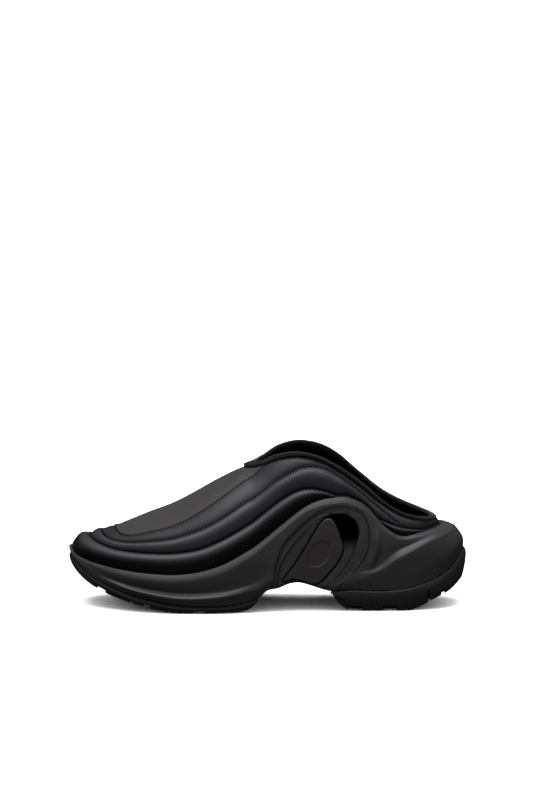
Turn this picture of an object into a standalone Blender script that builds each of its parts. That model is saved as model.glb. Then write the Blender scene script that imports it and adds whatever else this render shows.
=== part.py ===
"""Sneaker mule: one left shoe, in metres, +Z up, toe at -X, lateral side at -Y.

A moulded upper with quilted bands stands in a foam midsole cup. Rubber treads close the forefoot and
the heel from below, and both wrap up the end of the shoe. A knitted band edges the foot opening.
Every curved piece is worked out from the same last: sections along the length, whose half width,
widest height and vamp rise come from short tables of shares.
"""
import math

import bmesh
import bpy
import mathutils
import numpy as np

# Driving sizes
LENGTH = 0.300
BALL_WIDTH = 0.110
INSTEP_HEIGHT = 0.1195
UPPER_WALL = 0.0017
PAD_CROWN = 0.0014
PAD_SPAN = 0.020
GAP = 0.0003
SIDE_DEPTH = 0.0060
INSOLE_THICKNESS = 0.004
INSOLE_MARGIN = 0.0006
INSOLE_TOE_MARGIN = 0.0055
BINDING_HEIGHT = 0.0042
BINDING_THICKNESS = 0.0040
BINDING_CORNER = 0.0010
LEDGE_LEFT = 0.0038
WINDOW_LEFT = 0.0016
PLATE_THICKNESS = 0.0028
TREAD_PROUD = 0.0010
HEEL_FLARE = 0.0030
TREAD_TAPER = 0.0060
SIPE_WIDTH = 0.0016
SIPE_DEPTH = 0.0016
FORE_LUG_DEPTH = 0.0026
HEEL_LUG_DEPTH = 0.0042

# Places along the shoe, as shares of LENGTH from the toe
TOE_TIP = 0.010
SPINE_START = 0.20
THROAT = 0.447
THROAT_REACH = 0.16
HEEL_BACK = 0.937
COLLAR_BACK = 0.926
HEEL_TURN = 0.78
FORE_TREAD_END = 0.482
HEEL_TREAD_FRONT = 0.664
TAPER_FRONT = 0.03
TAPER_FRONT_RUN = 0.15
TAPER_BACK = 0.99
TAPER_BACK_RUN = 0.12
FLARE_START = 0.86
FLARE_RUN = 0.10
INSOLE_TOE_RUN = 0.10

# How finely the pieces are divided, and how boxy the sections and the heel are
STATIONS = 48
OUTLINE_POINTS = 30
BOX = 0.92
HEEL_ROUND = 2.5
TUCK = 0.10
RING_STEP = 0.012
END_STEP = 0.003
SKIRT_DROPS = (1.0, 0.5, 0.0)
FEATHER_ROW = len(SKIRT_DROPS)
WIDEST_OPENING = 0.99

# Rings of a tread from the foam down, and rings of a cutter's or a plate's face from its rim in
TREAD_DEPTHS = (0.0, 0.35, 1.0)
BLOCK_RINGS = (1.0, 0.66, 0.33)

# Rows of a pad: how far up it they run, and the share of its crown there
PAD_ROWS = ((0.22, 0.9), (0.78, 0.9), (1.0, 0.0))
EDGE_PAD_ROWS = ((0.22, 0.9), (0.65, 1.0), (1.0, 0.6))

# How far the midsole's side has gone from one line to the next at the ring half way between
SIDE_BULGES = (0.65, 0.40, 0.60, 0.28)

# Cutters: how far they reach past the surface, and how much the grooves slant across the sole
CUT_REACH = 0.020
GROOVE_SLANT = 0.004

# Corners closer than this are one, and edges sharper than this stay sharp
MERGE = 0.00001
SHARP_ANGLE = math.radians(38.0)

UPPER_COLOUR = (0.030, 0.028, 0.029)
BINDING_COLOUR = (0.010, 0.010, 0.010)
FOAM_COLOUR = (0.022, 0.022, 0.023)
PLATE_COLOUR = (0.017, 0.015, 0.015)
RUBBER_COLOUR = (0.012, 0.012, 0.012)
INSOLE_COLOUR = (0.009, 0.009, 0.009)


def table(names, rows):
    """Columns by name from rows of numbers."""
    return dict(zip(names.split(), np.array(rows, dtype=float).T))


# The last, a row for each section: places along in LENGTH, swing and half width in BALL_WIDTH,
# heights in INSTEP_HEIGHT
LAST = table("station swing half_width girth footbed", [
    (0.010, 0.060, 0.000, 0.350, 0.331),
    (0.030, 0.055, 0.172, 0.310, 0.286),
    (0.080, 0.048, 0.298, 0.268, 0.230),
    (0.131, 0.040, 0.376, 0.243, 0.190),
    (0.206, 0.022, 0.440, 0.226, 0.160),
    (0.269, 0.005, 0.459, 0.222, 0.151),
    (0.332, -0.005, 0.459, 0.230, 0.155),
    (0.382, -0.012, 0.446, 0.243, 0.168),
    (0.432, -0.020, 0.414, 0.264, 0.186),
    (0.482, -0.025, 0.385, 0.285, 0.206),
    (0.533, -0.025, 0.366, 0.305, 0.226),
    (0.583, -0.022, 0.352, 0.320, 0.240),
    (0.683, -0.012, 0.342, 0.345, 0.252),
    (0.759, -0.004, 0.341, 0.360, 0.256),
    (0.834, 0.000, 0.338, 0.368, 0.260),
    (1.000, 0.000, 0.336, 0.370, 0.262),
])

# The vamp's rise over the widest line
VAMP = table("station rise", [
    (0.010, 0.000),
    (0.035, 0.100),
    (0.055, 0.142),
    (0.085, 0.192),
    (0.118, 0.236),
    (0.150, 0.274),
    (0.211, 0.350),
    (0.271, 0.415),
    (0.332, 0.491),
    (0.372, 0.540),
    (0.432, 0.592),
    (0.447, 0.600),
])

# The foot opening's edge: its height, and its half width as a share of the section's
COLLAR = table("station height narrowing", [
    (0.447, 0.870, 0.00),
    (0.465, 0.879, 0.20),
    (0.482, 0.896, 0.31),
    (0.533, 0.950, 0.54),
    (0.583, 0.970, 0.66),
    (0.633, 0.941, 0.71),
    (0.683, 0.874, 0.74),
    (0.734, 0.780, 0.77),
    (0.784, 0.678, 0.80),
    (0.834, 0.600, 0.84),
    (0.884, 0.559, 0.88),
    (0.940, 0.540, 0.90),
])

# The midsole's top edge and the quilt's seams, as shares of the turn from the widest line, 0,
# to the spine, 1
FEATHER = table("station turn", [
    (0.010, 1.00),
    (0.0105, 0.20),
    (0.012, 0.08),
    (0.030, 0.040),
    (0.080, 0.042),
    (0.131, 0.040),
    (0.206, 0.030),
    (0.281, 0.027),
    (0.357, 0.044),
    (0.407, 0.072),
    (0.457, 0.116),
    (0.508, 0.168),
    (0.558, 0.212),
    (0.608, 0.258),
    (0.658, 0.295),
    (0.709, 0.332),
    (0.759, 0.310),
    (0.796, 0.214),
    (0.834, 0.152),
    (0.884, 0.188),
    (0.937, 0.240),
])
SEAM_C = table("station turn", [
    (0.055, 1.00),
    (0.080, 0.52),
    (0.106, 0.40),
    (0.156, 0.31),
    (0.206, 0.26),
    (0.281, 0.225),
    (0.332, 0.215),
    (0.382, 0.235),
    (0.432, 0.268),
    (0.482, 0.318),
    (0.533, 0.340),
    (0.583, 0.345),
    (0.671, 0.322),
    (0.720, 0.300),
    (0.937, 0.200),
])
SEAM_B = table("station turn", [
    (0.085, 1.00),
    (0.106, 0.60),
    (0.131, 0.51),
    (0.206, 0.414),
    (0.307, 0.388),
    (0.357, 0.395),
    (0.407, 0.430),
    (0.457, 0.485),
    (0.508, 0.500),
    (0.558, 0.482),
    (0.658, 0.466),
    (0.746, 0.405),
    (0.786, 0.368),
    (0.822, 0.298),
    (0.850, 0.200),
    (0.937, 0.200),
])
SEAM_A = table("station turn", [
    (0.118, 1.00),
    (0.135, 0.66),
    (0.156, 0.59),
    (0.206, 0.553),
    (0.256, 0.546),
    (0.332, 0.575),
    (0.382, 0.621),
    (0.432, 0.688),
    (0.465, 0.740),
    (0.508, 0.760),
    (0.937, 0.760),
])

# The sole seen from the side: the rubber's underside and the foam's, heights in INSTEP_HEIGHT
FORE_TREAD = table("station underside", [
    (0.000, 0.318),
    (0.008, 0.280),
    (0.018, 0.249),
    (0.030, 0.218),
    (0.055, 0.172),
    (0.080, 0.137),
    (0.105, 0.108),
    (0.131, 0.083),
    (0.156, 0.061),
    (0.206, 0.030),
    (0.250, 0.008),
    (0.280, 0.000),
    (0.410, 0.000),
    (0.432, 0.006),
    (0.457, 0.024),
    (0.482, 0.082),
])
HEEL_TREAD = table("station underside", [
    (0.664, 0.104),
    (0.683, 0.044),
    (0.700, 0.014),
    (0.715, 0.000),
    (0.845, 0.000),
    (0.865, 0.008),
    (0.884, 0.026),
    (0.910, 0.060),
    (0.935, 0.090),
    (0.965, 0.131),
    (0.980, 0.165),
    (0.990, 0.192),
    (1.000, 0.250),
])
FOAM = table("station underside", [
    (0.000, 0.352),
    (0.008, 0.320),
    (0.018, 0.288),
    (0.030, 0.257),
    (0.055, 0.211),
    (0.080, 0.176),
    (0.105, 0.148),
    (0.131, 0.123),
    (0.156, 0.101),
    (0.206, 0.070),
    (0.250, 0.048),
    (0.280, 0.040),
    (0.410, 0.040),
    (0.432, 0.047),
    (0.457, 0.066),
    (0.482, 0.094),
    (0.498, 0.138),
    (0.528, 0.157),
    (0.560, 0.186),
    (0.580, 0.190),
    (0.608, 0.172),
    (0.633, 0.148),
    (0.664, 0.122),
    (0.700, 0.124),
    (0.784, 0.119),
    (0.834, 0.128),
    (0.859, 0.139),
    (0.884, 0.160),
    (0.910, 0.183),
    (0.935, 0.213),
    (0.960, 0.251),
    (0.977, 0.292),
    (1.000, 0.352),
])

# The midsole's side, a row for each section: how far up the wall each line runs, and how far it
# stands out from the last, in SIDE_DEPTH
SIDE = table("station foot_out ridge_rise ridge_out groove_rise groove_out lip_rise lip_out edge_out", [
    (0.010, 0.33, 0.30, 0.40, 0.50, 0.40, 0.80, 0.40, 0.20),
    (0.080, 0.36, 0.30, 0.60, 0.50, 0.42, 0.80, 0.60, 0.28),
    (0.206, 0.42, 0.30, 0.90, 0.50, 0.48, 0.80, 0.80, 0.34),
    (0.332, 0.42, 0.28, 0.92, 0.48, 0.52, 0.82, 0.80, 0.34),
    (0.432, 0.42, 0.24, 0.86, 0.42, 0.66, 0.84, 0.88, 0.40),
    (0.533, 0.46, 0.16, 0.84, 0.34, 0.88, 0.90, 0.90, 0.48),
    (0.633, 0.46, 0.14, 0.84, 0.34, 0.90, 0.92, 0.90, 0.50),
    (0.710, 0.56, 0.16, 0.92, 0.36, 0.86, 0.92, 0.88, 0.50),
    (0.784, 0.66, 0.36, 1.14, 0.54, 0.86, 0.92, 0.74, 0.46),
    (0.834, 0.84, 0.64, 1.22, 0.76, 0.96, 0.93, 0.64, 0.42),
    (0.884, 1.36, 0.74, 1.54, 0.83, 1.16, 0.95, 0.70, 0.40),
    (0.937, 2.40, 0.60, 2.28, 0.76, 1.75, 0.95, 0.76, 0.34),
])

# Outlines seen from the side, for the arch's ledge, its window and its plate
LEDGE_OUTLINE = table("station height", [
    (0.522, 0.100),
    (0.518, 0.220),
    (0.524, 0.320),
    (0.540, 0.427),
    (0.565, 0.503),
    (0.595, 0.574),
    (0.633, 0.640),
    (0.665, 0.667),
    (0.700, 0.668),
    (0.734, 0.633),
    (0.751, 0.567),
    (0.756, 0.480),
    (0.750, 0.380),
    (0.722, 0.270),
    (0.685, 0.180),
    (0.655, 0.100),
])
WINDOW_OUTLINE = table("station height", [
    (0.531, 0.100),
    (0.526, 0.180),
    (0.530, 0.265),
    (0.541, 0.342),
    (0.560, 0.412),
    (0.584, 0.486),
    (0.610, 0.552),
    (0.643, 0.608),
    (0.690, 0.618),
    (0.718, 0.582),
    (0.729, 0.520),
    (0.724, 0.440),
    (0.707, 0.335),
    (0.678, 0.235),
    (0.645, 0.160),
    (0.625, 0.100),
])
PLATE_OUTLINE = table("station height", [
    (0.540, 0.200),
    (0.548, 0.232),
    (0.570, 0.306),
    (0.595, 0.402),
    (0.616, 0.492),
    (0.636, 0.570),
    (0.652, 0.596),
    (0.666, 0.580),
    (0.678, 0.520),
    (0.688, 0.440),
    (0.690, 0.390),
    (0.676, 0.316),
    (0.654, 0.250),
    (0.632, 0.192),
    (0.608, 0.184),
    (0.583, 0.206),
    (0.562, 0.214),
])

# Grooves that part the tread into lugs
FORE_LUGS = table("station width", [
    (0.090, 0.013),
    (0.200, 0.018),
    (0.328, 0.032),
])
FORE_SIPES = (0.135, 0.165, 0.256, 0.292, 0.407)
HEEL_LUGS = table("station width", [
    (0.722, 0.036),
    (0.808, 0.034),
    (0.930, 0.010),
])
HEEL_SIPES = (0.765, 0.850, 0.900)


def hermite(keys, values, at):
    """Smooth curve through the rows: cubic pieces whose slopes are the neighbours' mean slopes."""
    slopes = np.gradient(values, keys)
    at = np.clip(at, keys[0], keys[-1])
    left = np.clip(np.searchsorted(keys, at, side="right") - 1, 0, len(keys) - 2)
    step = keys[left + 1] - keys[left]
    part = (at - keys[left]) / step
    rest = 1.0 - part
    start = (1.0 + 2.0 * part) * rest**2 * values[left] + part * rest**2 * step * slopes[left]
    end = part**2 * (3.0 - 2.0 * part) * values[left + 1] - part**2 * rest * step * slopes[left + 1]
    return start + end


def read(rows, column, station, start=0.0):
    """A column at any station. The root of the distance from start keeps a blunt nose round."""
    keys = np.sqrt(np.maximum(rows["station"] - start, 0.0))
    return hermite(keys, rows[column], np.sqrt(np.maximum(station - start, 0.0)))


def smooth(value):
    """0 below 0, 1 above 1, and an even ramp between."""
    value = np.clip(value, 0.0, 1.0)
    return value * value * (3.0 - 2.0 * value)


# The loop round the shoe, from the toe along one side to the heel's back. A station falls on the
# throat, and stations crowd towards both ends.
throat_travel = math.acos(1.0 - 2.0 * (THROAT - TOE_TIP) / (HEEL_BACK - TOE_TIP)) / math.pi
throat_index = round(throat_travel * STATIONS)
travel = np.append(
    np.linspace(0.0, throat_travel, throat_index + 1),
    np.linspace(throat_travel, 1.0, STATIONS - throat_index + 1)[1:])
base_station = TOE_TIP + (HEEL_BACK - TOE_TIP) * (1.0 - np.cos(np.pi * travel)) / 2.0
heel_share = np.clip((base_station - HEEL_TURN) / (HEEL_BACK - HEEL_TURN), 0.0, 1.0)
heel_rounding = np.sqrt(1.0 - heel_share**HEEL_ROUND)


def ring_station(nose, back, crowding=0.0):
    """The base stations stretched in front of the throat to a nose, and behind it to a back.

    Crowding, from 0 to 1, draws those just behind the throat towards it.
    """
    front = nose + (base_station - TOE_TIP) * (THROAT - nose) / (THROAT - TOE_TIP)
    rear = THROAT + (base_station - THROAT) * (back - THROAT) / (HEEL_BACK - THROAT)
    station = np.where(base_station <= THROAT, front, rear)
    share = np.clip((station - THROAT) / THROAT_REACH, 0.0, 1.0)
    return station - crowding * THROAT_REACH * (share - share**2 * (2.0 - share))


def narrowing_at(station):
    """The opening's half width as a share of the section's, 0 in front of the throat."""
    return np.where(station > THROAT, read(COLLAR, "narrowing", station, THROAT), 0.0)


def section_top(station):
    """Height of the section's closed top over its widest line, also where the opening cuts it."""
    share = np.clip(narrowing_at(station), 0.0, WIDEST_OPENING)
    edge = read(COLLAR, "height", station) - read(LAST, "girth", station, TOE_TIP)
    rise = np.sqrt(1.0 - share ** (2.0 / BOX)) ** BOX
    return np.where(station > THROAT, edge / rise, read(VAMP, "rise", station, TOE_TIP))


def last_point(station, turn, side, drop=0.0):
    """A point of the last: half width times cos(turn)^BOX out, rise times sin(turn)^BOX up.

    Below the widest line, drop runs from 0 to 1 at the footbed and the wall tucks in.
    """
    angle = np.clip(turn, 0.0, 1.0) * math.pi / 2.0
    half = read(LAST, "half_width", station, TOE_TIP) * heel_rounding * (1.0 - TUCK * drop**2)
    girth = read(LAST, "girth", station, TOE_TIP)
    footbed = read(LAST, "footbed", station, TOE_TIP)
    x = (station - 0.5) * LENGTH
    y = (read(LAST, "swing", station, TOE_TIP) + side * half * np.cos(angle).clip(0.0) ** BOX) * BALL_WIDTH
    up = girth + section_top(station) * np.sin(angle) ** BOX - (girth - footbed) * drop
    return np.stack([x, y, up * INSTEP_HEIGHT], axis=-1)


def loop(make_side):
    """Both sides as one closed loop: the lateral side to the heel, then the medial side back."""
    return np.concatenate([make_side(-1.0), make_side(1.0)[-2:0:-1]])


def turn_at_height(station, height):
    """The turn at which the last's section reaches a height, both as shares."""
    over = (height - read(LAST, "girth", station, TOE_TIP)) / np.maximum(section_top(station), 1e-6)
    return np.arcsin(np.clip(over, 0.0, 1.0) ** (1.0 / BOX)) * 2.0 / math.pi


def grid_normals(rows):
    """Outward unit normals of a grid of closed loops, one loop above the other."""
    along = np.roll(rows, -1, axis=1) - np.roll(rows, 1, axis=1)
    up = np.gradient(rows, axis=0)
    normal = np.cross(along, up)
    return normal / np.maximum(np.linalg.norm(normal, axis=2, keepdims=True), 1e-12)


def plan_normals(ring):
    """Level unit normals of one closed loop."""
    along = np.roll(ring, -1, axis=0) - np.roll(ring, 1, axis=0)
    normal = np.stack([along[:, 1], -along[:, 0], np.zeros(len(ring))], axis=1)
    return normal / np.linalg.norm(normal, axis=1, keepdims=True)


# The upper's rings, from the feather line up to the opening
feather_station = ring_station(TOE_TIP, HEEL_BACK)
feather_turn = read(FEATHER, "turn", feather_station, TOE_TIP)
top_station = ring_station(SPINE_START, COLLAR_BACK, 1.0)
edge_turn = np.arccos(np.clip(narrowing_at(top_station), 0.0, 1.0) ** (1.0 / BOX)) * 2.0 / math.pi


def seam_rings():
    """Stations and turns of the quilt's seams. Behind the throat they stay in order under the edge."""
    rings = []
    below = feather_turn
    for count, rows in enumerate((SEAM_C, SEAM_B, SEAM_A)):
        nose = rows["station"][0]
        back = HEEL_BACK + (COLLAR_BACK - HEEL_BACK) * (count + 1) / 4.0
        station = ring_station(nose, back, (count + 1) / 3.0)
        free = read(rows, "turn", station, nose)
        highest = edge_turn - RING_STEP * (3 - count)
        turn = np.where(base_station > THROAT, np.clip(free, below + RING_STEP, highest), free)
        rings.append((station, turn))
        below = turn
    return rings


def upper_grid():
    """Rows of the last from the footbed up to the opening, and how far each pad stands out there.

    A pad rises between two seams, and it rises less where the seams run together.
    """
    rows = []
    for drop in SKIRT_DROPS:
        rows.append(loop(lambda side: last_point(feather_station, 0.0, side, drop)))
    rings = [(feather_station, feather_turn)] + seam_rings() + [(top_station, edge_turn)]
    rows.append(loop(lambda side: last_point(*rings[0], side)))
    crowns = [np.zeros(len(rows[0]))] * len(rows)
    for lower, upper in zip(rings, rings[1:]):
        bottom = loop(lambda side: last_point(*lower, side))
        top = loop(lambda side: last_point(*upper, side))
        height = smooth(np.linalg.norm(top - bottom, axis=1) / PAD_SPAN)
        shape = EDGE_PAD_ROWS if upper is rings[-1] else PAD_ROWS
        for part, rise in shape:
            station = lower[0] + (upper[0] - lower[0]) * part
            turn = lower[1] + (upper[1] - lower[1]) * part
            rows.append(loop(lambda side: last_point(station, turn, side)))
            crowns.append(PAD_CROWN * rise * height)
    return np.array(rows), np.array(crowns)


last_rows, pad_crowns = upper_grid()
last_normals = grid_normals(last_rows)
mirrored = -np.arange(2 * STATIONS) % (2 * STATIONS)
on_spine = np.minimum(np.arange(2 * STATIONS), mirrored) <= throat_index
spine_normals = last_normals[-1] + last_normals[-1][mirrored]
spine_normals = spine_normals / np.linalg.norm(spine_normals, axis=1, keepdims=True)
last_normals[-1] = np.where(on_spine[:, None], spine_normals, last_normals[-1])
outer_rows = last_rows + last_normals * pad_crowns[..., None]
inner_rows = last_rows - last_normals * UPPER_WALL


class Solid:
    """Points and faces of one closed piece, gathered ring by ring."""

    def __init__(self):
        self.points = []
        self.faces = []

    def ring(self, points):
        """Add points and return their numbers."""
        start = len(self.points)
        self.points.extend(tuple(point) for point in np.asarray(points).tolist())
        return list(range(start, len(self.points)))

    def face(self, corners):
        """Add a face, leaving out a corner that comes twice."""
        self.faces.append(tuple(dict.fromkeys(corners)))

    def band(self, first, second, closed=True):
        """Faces between two rings of as many points."""
        for here in range(len(first) if closed else len(first) - 1):
            after = (here + 1) % len(first)
            self.face((first[here], first[after], second[after], second[here]))

    def span(self, ring):
        """Strips across a loop, from the lateral side to the medial side."""
        count = len(ring)
        for here in range(count // 2):
            after = here + 1
            self.face((ring[here], ring[after], ring[-after % count], ring[-here % count]))

    def build(self, name, colour, roughness):
        """Make the object: corners that meet are joined, and faces point out."""
        shape = bmesh.new()
        corners = [shape.verts.new(point) for point in self.points]
        for face in self.faces:
            shape.faces.new([corners[number] for number in face])
        bmesh.ops.remove_doubles(shape, verts=shape.verts, dist=MERGE)
        bmesh.ops.dissolve_degenerate(shape, edges=shape.edges, dist=MERGE)
        bmesh.ops.recalc_face_normals(shape, faces=shape.faces)
        mesh = bpy.data.meshes.new(name)
        shape.to_mesh(mesh)
        shape.free()
        mesh.shade_smooth()
        mesh.set_sharp_from_angle(angle=SHARP_ANGLE)
        piece = bpy.data.objects.new(name, mesh)
        bpy.context.scene.collection.objects.link(piece)
        if colour:
            mesh.materials.append(material(name, colour, roughness))
        else:
            piece.hide_render = True
            piece.display_type = "WIRE"
        return piece


def material(name, colour, roughness):
    """A plain material of the piece's own."""
    made = bpy.data.materials.new(name)
    made.use_nodes = True
    shader = made.node_tree.nodes["Principled BSDF"]
    shader.inputs["Base Color"].default_value = (*colour, 1.0)
    shader.inputs["Roughness"].default_value = roughness
    shader.inputs["Metallic"].default_value = 0.0
    return made


def cut(piece, cutter):
    """Take the cutter's shape out of the piece."""
    modifier = piece.modifiers.new(cutter.name, "BOOLEAN")
    modifier.operation = "DIFFERENCE"
    modifier.solver = "EXACT"
    modifier.object = cutter


def make_upper():
    """The hollow shell: quilted outside, smooth inside, open at the collar and underneath."""
    solid = Solid()
    outer = [solid.ring(row) for row in outer_rows]
    kept = [row for row in range(len(inner_rows)) if row <= FEATHER_ROW or (row - FEATHER_ROW) % 3 != 1]
    inner = [solid.ring(inner_rows[row]) for row in kept]
    for first, second in zip(outer, outer[1:]):
        solid.band(first, second)
    for first, second in zip(inner, inner[1:]):
        solid.band(second, first)
    solid.band(inner[0], outer[0])
    opening = slice(throat_index, 2 * STATIONS - throat_index + 1)
    solid.band(outer[-1][opening], inner[-1][opening], closed=False)
    return solid.build("upper", UPPER_COLOUR, 0.45)


def make_binding():
    """The knitted band: a rounded strip that follows the opening just over the upper's edge."""
    opening = slice(throat_index, 2 * STATIONS - throat_index)
    middle = ((outer_rows[-1] + inner_rows[-1]) / 2.0)[opening]
    normal = last_normals[-1][opening]
    along = np.roll(middle, -1, axis=0) - np.roll(middle, 1, axis=0)
    up = np.cross(normal, along)
    up = up / np.linalg.norm(up, axis=1, keepdims=True)
    side = BINDING_THICKNESS / 2.0
    low, high = GAP, GAP + BINDING_HEIGHT
    corner = BINDING_CORNER
    section = [
        (side - corner, low), (side, low + corner), (side, high - corner), (side - corner, high),
        (corner - side, high), (-side, high - corner), (-side, low + corner), (corner - side, low)]
    solid = Solid()
    rings = [solid.ring(middle + normal * out + up * rise) for out, rise in section]
    for first, second in zip(rings, rings[1:] + rings[:1]):
        solid.band(first, second)
    return solid.build("collar_binding", BINDING_COLOUR, 0.85)


feather_plan = loop(lambda side: last_point(feather_station, 0.0, side))
feather_edge = last_rows[FEATHER_ROW]
plan_out = plan_normals(feather_plan)


def side_value(column):
    """A column of the midsole's side table, round the whole loop."""
    values = read(SIDE, column, feather_station, TOE_TIP)
    return loop(lambda side: values)[:, None]


def side_ring(rise, out):
    """A loop of the midsole's side: part of the way up its wall, standing out from the last."""
    foot = feather_plan + plan_out * side_value("foot_out") * SIDE_DEPTH
    low = read(FOAM, "underside", foot[:, 0] / LENGTH + 0.5)[:, None] * INSTEP_HEIGHT
    height = low + (feather_edge[:, 2:] - low) * rise
    near = height[: STATIONS + 1, 0] / INSTEP_HEIGHT
    far = np.append(height[0, 0], height[: STATIONS - 1: -1, 0]) / INSTEP_HEIGHT
    turns = [np.minimum(turn_at_height(feather_station, share), feather_turn) for share in (near, far)]
    lateral = last_point(feather_station, turns[0], -1.0)
    medial = last_point(feather_station, turns[1], 1.0)
    ring = np.concatenate([lateral, medial[-2:0:-1]]) + plan_out * out * SIDE_DEPTH
    ring[:, 2] = height[:, 0]
    return ring


def side_rings():
    """The side's loops, from the foot over ridge, groove and lip to the edge, with one between each."""
    knots = [(np.zeros((2 * STATIONS, 1)), side_value("foot_out"))]
    for line in ("ridge", "groove", "lip"):
        knots.append((side_value(line + "_rise"), side_value(line + "_out")))
    knots.append((np.ones((2 * STATIONS, 1)), side_value("edge_out")))
    rings = [side_ring(*knots[0])]
    for (low, near), (high, far), bulge in zip(knots, knots[1:], SIDE_BULGES):
        rings.append(side_ring((low + high) / 2.0, near + (far - near) * bulge))
        rings.append(side_ring(high, far))
    return rings


midsole_sides = side_rings()


def wall_patch(station, height, side, over):
    """A point over the last's wall at a station and height, both as shares."""
    half = read(LAST, "half_width", station, TOE_TIP)
    girth = read(LAST, "girth", station, TOE_TIP)
    share = np.clip((height - girth) / section_top(station), 0.0, 1.0) ** (1.0 / BOX)
    half = half * np.sqrt(1.0 - share**2) ** BOX
    y = (read(LAST, "swing", station, TOE_TIP) + side * half) * BALL_WIDTH + side * over
    return np.stack([(station - 0.5) * LENGTH, y, height * INSTEP_HEIGHT], axis=-1)


def closed_outline(rows):
    """A smooth closed outline through the rows: stations and heights."""
    count = len(rows["station"])
    keys = np.arange(-2, count + 3)
    at = np.arange(OUTLINE_POINTS) * count / OUTLINE_POINTS
    return [hermite(keys, rows[column][keys % count], at) for column in ("station", "height")]


def wall_block(name, rows, side, inside, outside, colour):
    """A block with a side-view outline whose two faces follow the last's wall."""
    station, height = closed_outline(rows)
    middle = (station.mean(), height.mean())
    solid = Solid()
    caps = []
    for over in (inside, outside):
        rings = []
        for share in BLOCK_RINGS:
            ring_x = middle[0] + (station - middle[0]) * share
            ring_z = middle[1] + (height - middle[1]) * share
            rings.append(solid.ring(wall_patch(ring_x, ring_z, side, over)))
        centre = solid.ring([wall_patch(np.array(middle[0]), np.array(middle[1]), side, over)])[0]
        for first, second in zip(rings, rings[1:]):
            solid.band(first, second)
        for here in range(OUTLINE_POINTS):
            solid.face((rings[-1][here], rings[-1][(here + 1) % OUTLINE_POINTS], centre))
        caps.append(rings[0])
    solid.band(caps[0], caps[1])
    return solid.build(name, colour, 0.5)


def make_midsole():
    """The foam cup: sculpted side, top edge, inner wall a gap off the upper, and footbed floor."""
    solid = Solid()
    outer = [solid.ring(ring) for ring in midsole_sides]
    cup = outer_rows[: FEATHER_ROW + 1] + last_normals[: FEATHER_ROW + 1] * GAP
    cup[0, :, 2] -= GAP
    inner = [solid.ring(row) for row in cup]
    for first, second in zip(outer, outer[1:]):
        solid.band(first, second)
    solid.band(outer[-1], inner[-1])
    for first, second in zip(inner, inner[1:]):
        solid.band(second, first)
    solid.span(inner[0])
    solid.span(outer[0])
    midsole = solid.build("midsole", FOAM_COLOUR, 0.55)
    for side, label in ((-1.0, "lateral"), (1.0, "medial")):
        cut(midsole, wall_block("ledge_cut_" + label, LEDGE_OUTLINE, side, LEDGE_LEFT, CUT_REACH, None))
        cut(midsole, wall_block("window_cut_" + label, WINDOW_OUTLINE, side, WINDOW_LEFT, CUT_REACH, None))
        near = WINDOW_LEFT + GAP
        wall_block("arch_plate_" + label, PLATE_OUTLINE, side, near, near + PLATE_THICKNESS, PLATE_COLOUR)
    return midsole


def side_parts(rings, front, back):
    """Each ring's lateral and medial points between two stations of the foam's foot.

    The points are the foot's own, so that rubber and foam have matching facets, and an end that
    falls between two of them lies on their chord.
    """
    near = np.arange(STATIONS + 1)
    orders = (near, -near % (2 * STATIONS))
    shares = [midsole_sides[0][order, 0] / LENGTH + 0.5 for order in orders]
    inside = (np.minimum(*shares) > front + END_STEP) & (np.maximum(*shares) < back - END_STEP)
    sides = []
    for order, share in zip(orders, shares):
        ends = np.interp((front, back), share, near)
        at = np.concatenate([[ends[0]], near[inside & (near > ends[0]) & (near < ends[1])], [ends[1]]])
        sides.append([np.stack([np.interp(at, near, ring[order, axis]) for axis in range(3)], axis=1)
                      for ring in rings])
    return sides


def make_tread(name, rows, front, back, flare):
    """A rubber tread under the foam, with a slanted side. It wraps up the end of the shoe."""
    foot = midsole_sides[0]
    normal = plan_normals(foot)
    station = foot[:, :1] / LENGTH + 0.5
    taper = TREAD_TAPER * smooth((station - TAPER_FRONT) / TAPER_FRONT_RUN)
    taper = taper * smooth((TAPER_BACK - station) / TAPER_BACK_RUN)
    proud = foot + normal * TREAD_PROUD
    bulge = proud + normal * flare * smooth((station - FLARE_START) / FLARE_RUN)
    widths = (proud, bulge, bulge - normal * taper)
    solid = Solid()
    lateral, medial = [], []
    for rings, kept in zip(side_parts(widths, front, back), (lateral, medial)):
        for points, depth in zip(rings, TREAD_DEPTHS):
            top = points[:, 2] - GAP
            under = np.maximum(read(rows, "underside", points[:, 0] / LENGTH + 0.5), 0.0) * INSTEP_HEIGHT
            points[:, 2] = top + (under - top) * depth
            kept.append(solid.ring(points))
    for kept in (lateral, medial):
        for upper, lower in zip(kept, kept[1:]):
            solid.band(upper, lower, closed=False)
    solid.band(lateral[0], medial[0], closed=False)
    solid.band(lateral[-1], medial[-1], closed=False)
    if front > 0.0:
        solid.face([ring[0] for ring in lateral] + [ring[0] for ring in medial[::-1]])
    if back < 1.0:
        solid.face([ring[-1] for ring in lateral] + [ring[-1] for ring in medial[::-1]])
    return solid.build(name, RUBBER_COLOUR, 0.6)


def make_grooves(name, rows, grooves):
    """One cutter for all grooves of a tread: slanted bars that follow its underside."""
    solid = Solid()
    reach = BALL_WIDTH
    for station, width, depth in grooves:
        ends = np.array([station - width / 2.0, station + width / 2.0])
        under = np.maximum(read(rows, "underside", ends), 0.0) * INSTEP_HEIGHT
        x = (ends - 0.5) * LENGTH
        rings = []
        for y, slant in ((-reach, -GROOVE_SLANT), (reach, GROOVE_SLANT)):
            corners = [
                (x[0] + slant, y, under[0] - reach), (x[1] + slant, y, under[1] - reach),
                (x[1] + slant, y, under[1] + depth), (x[0] + slant, y, under[0] + depth)]
            rings.append(solid.ring(corners))
        solid.band(rings[0], rings[1])
        solid.face(rings[0])
        solid.face(rings[1])
    return solid.build(name, None, None)


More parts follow.
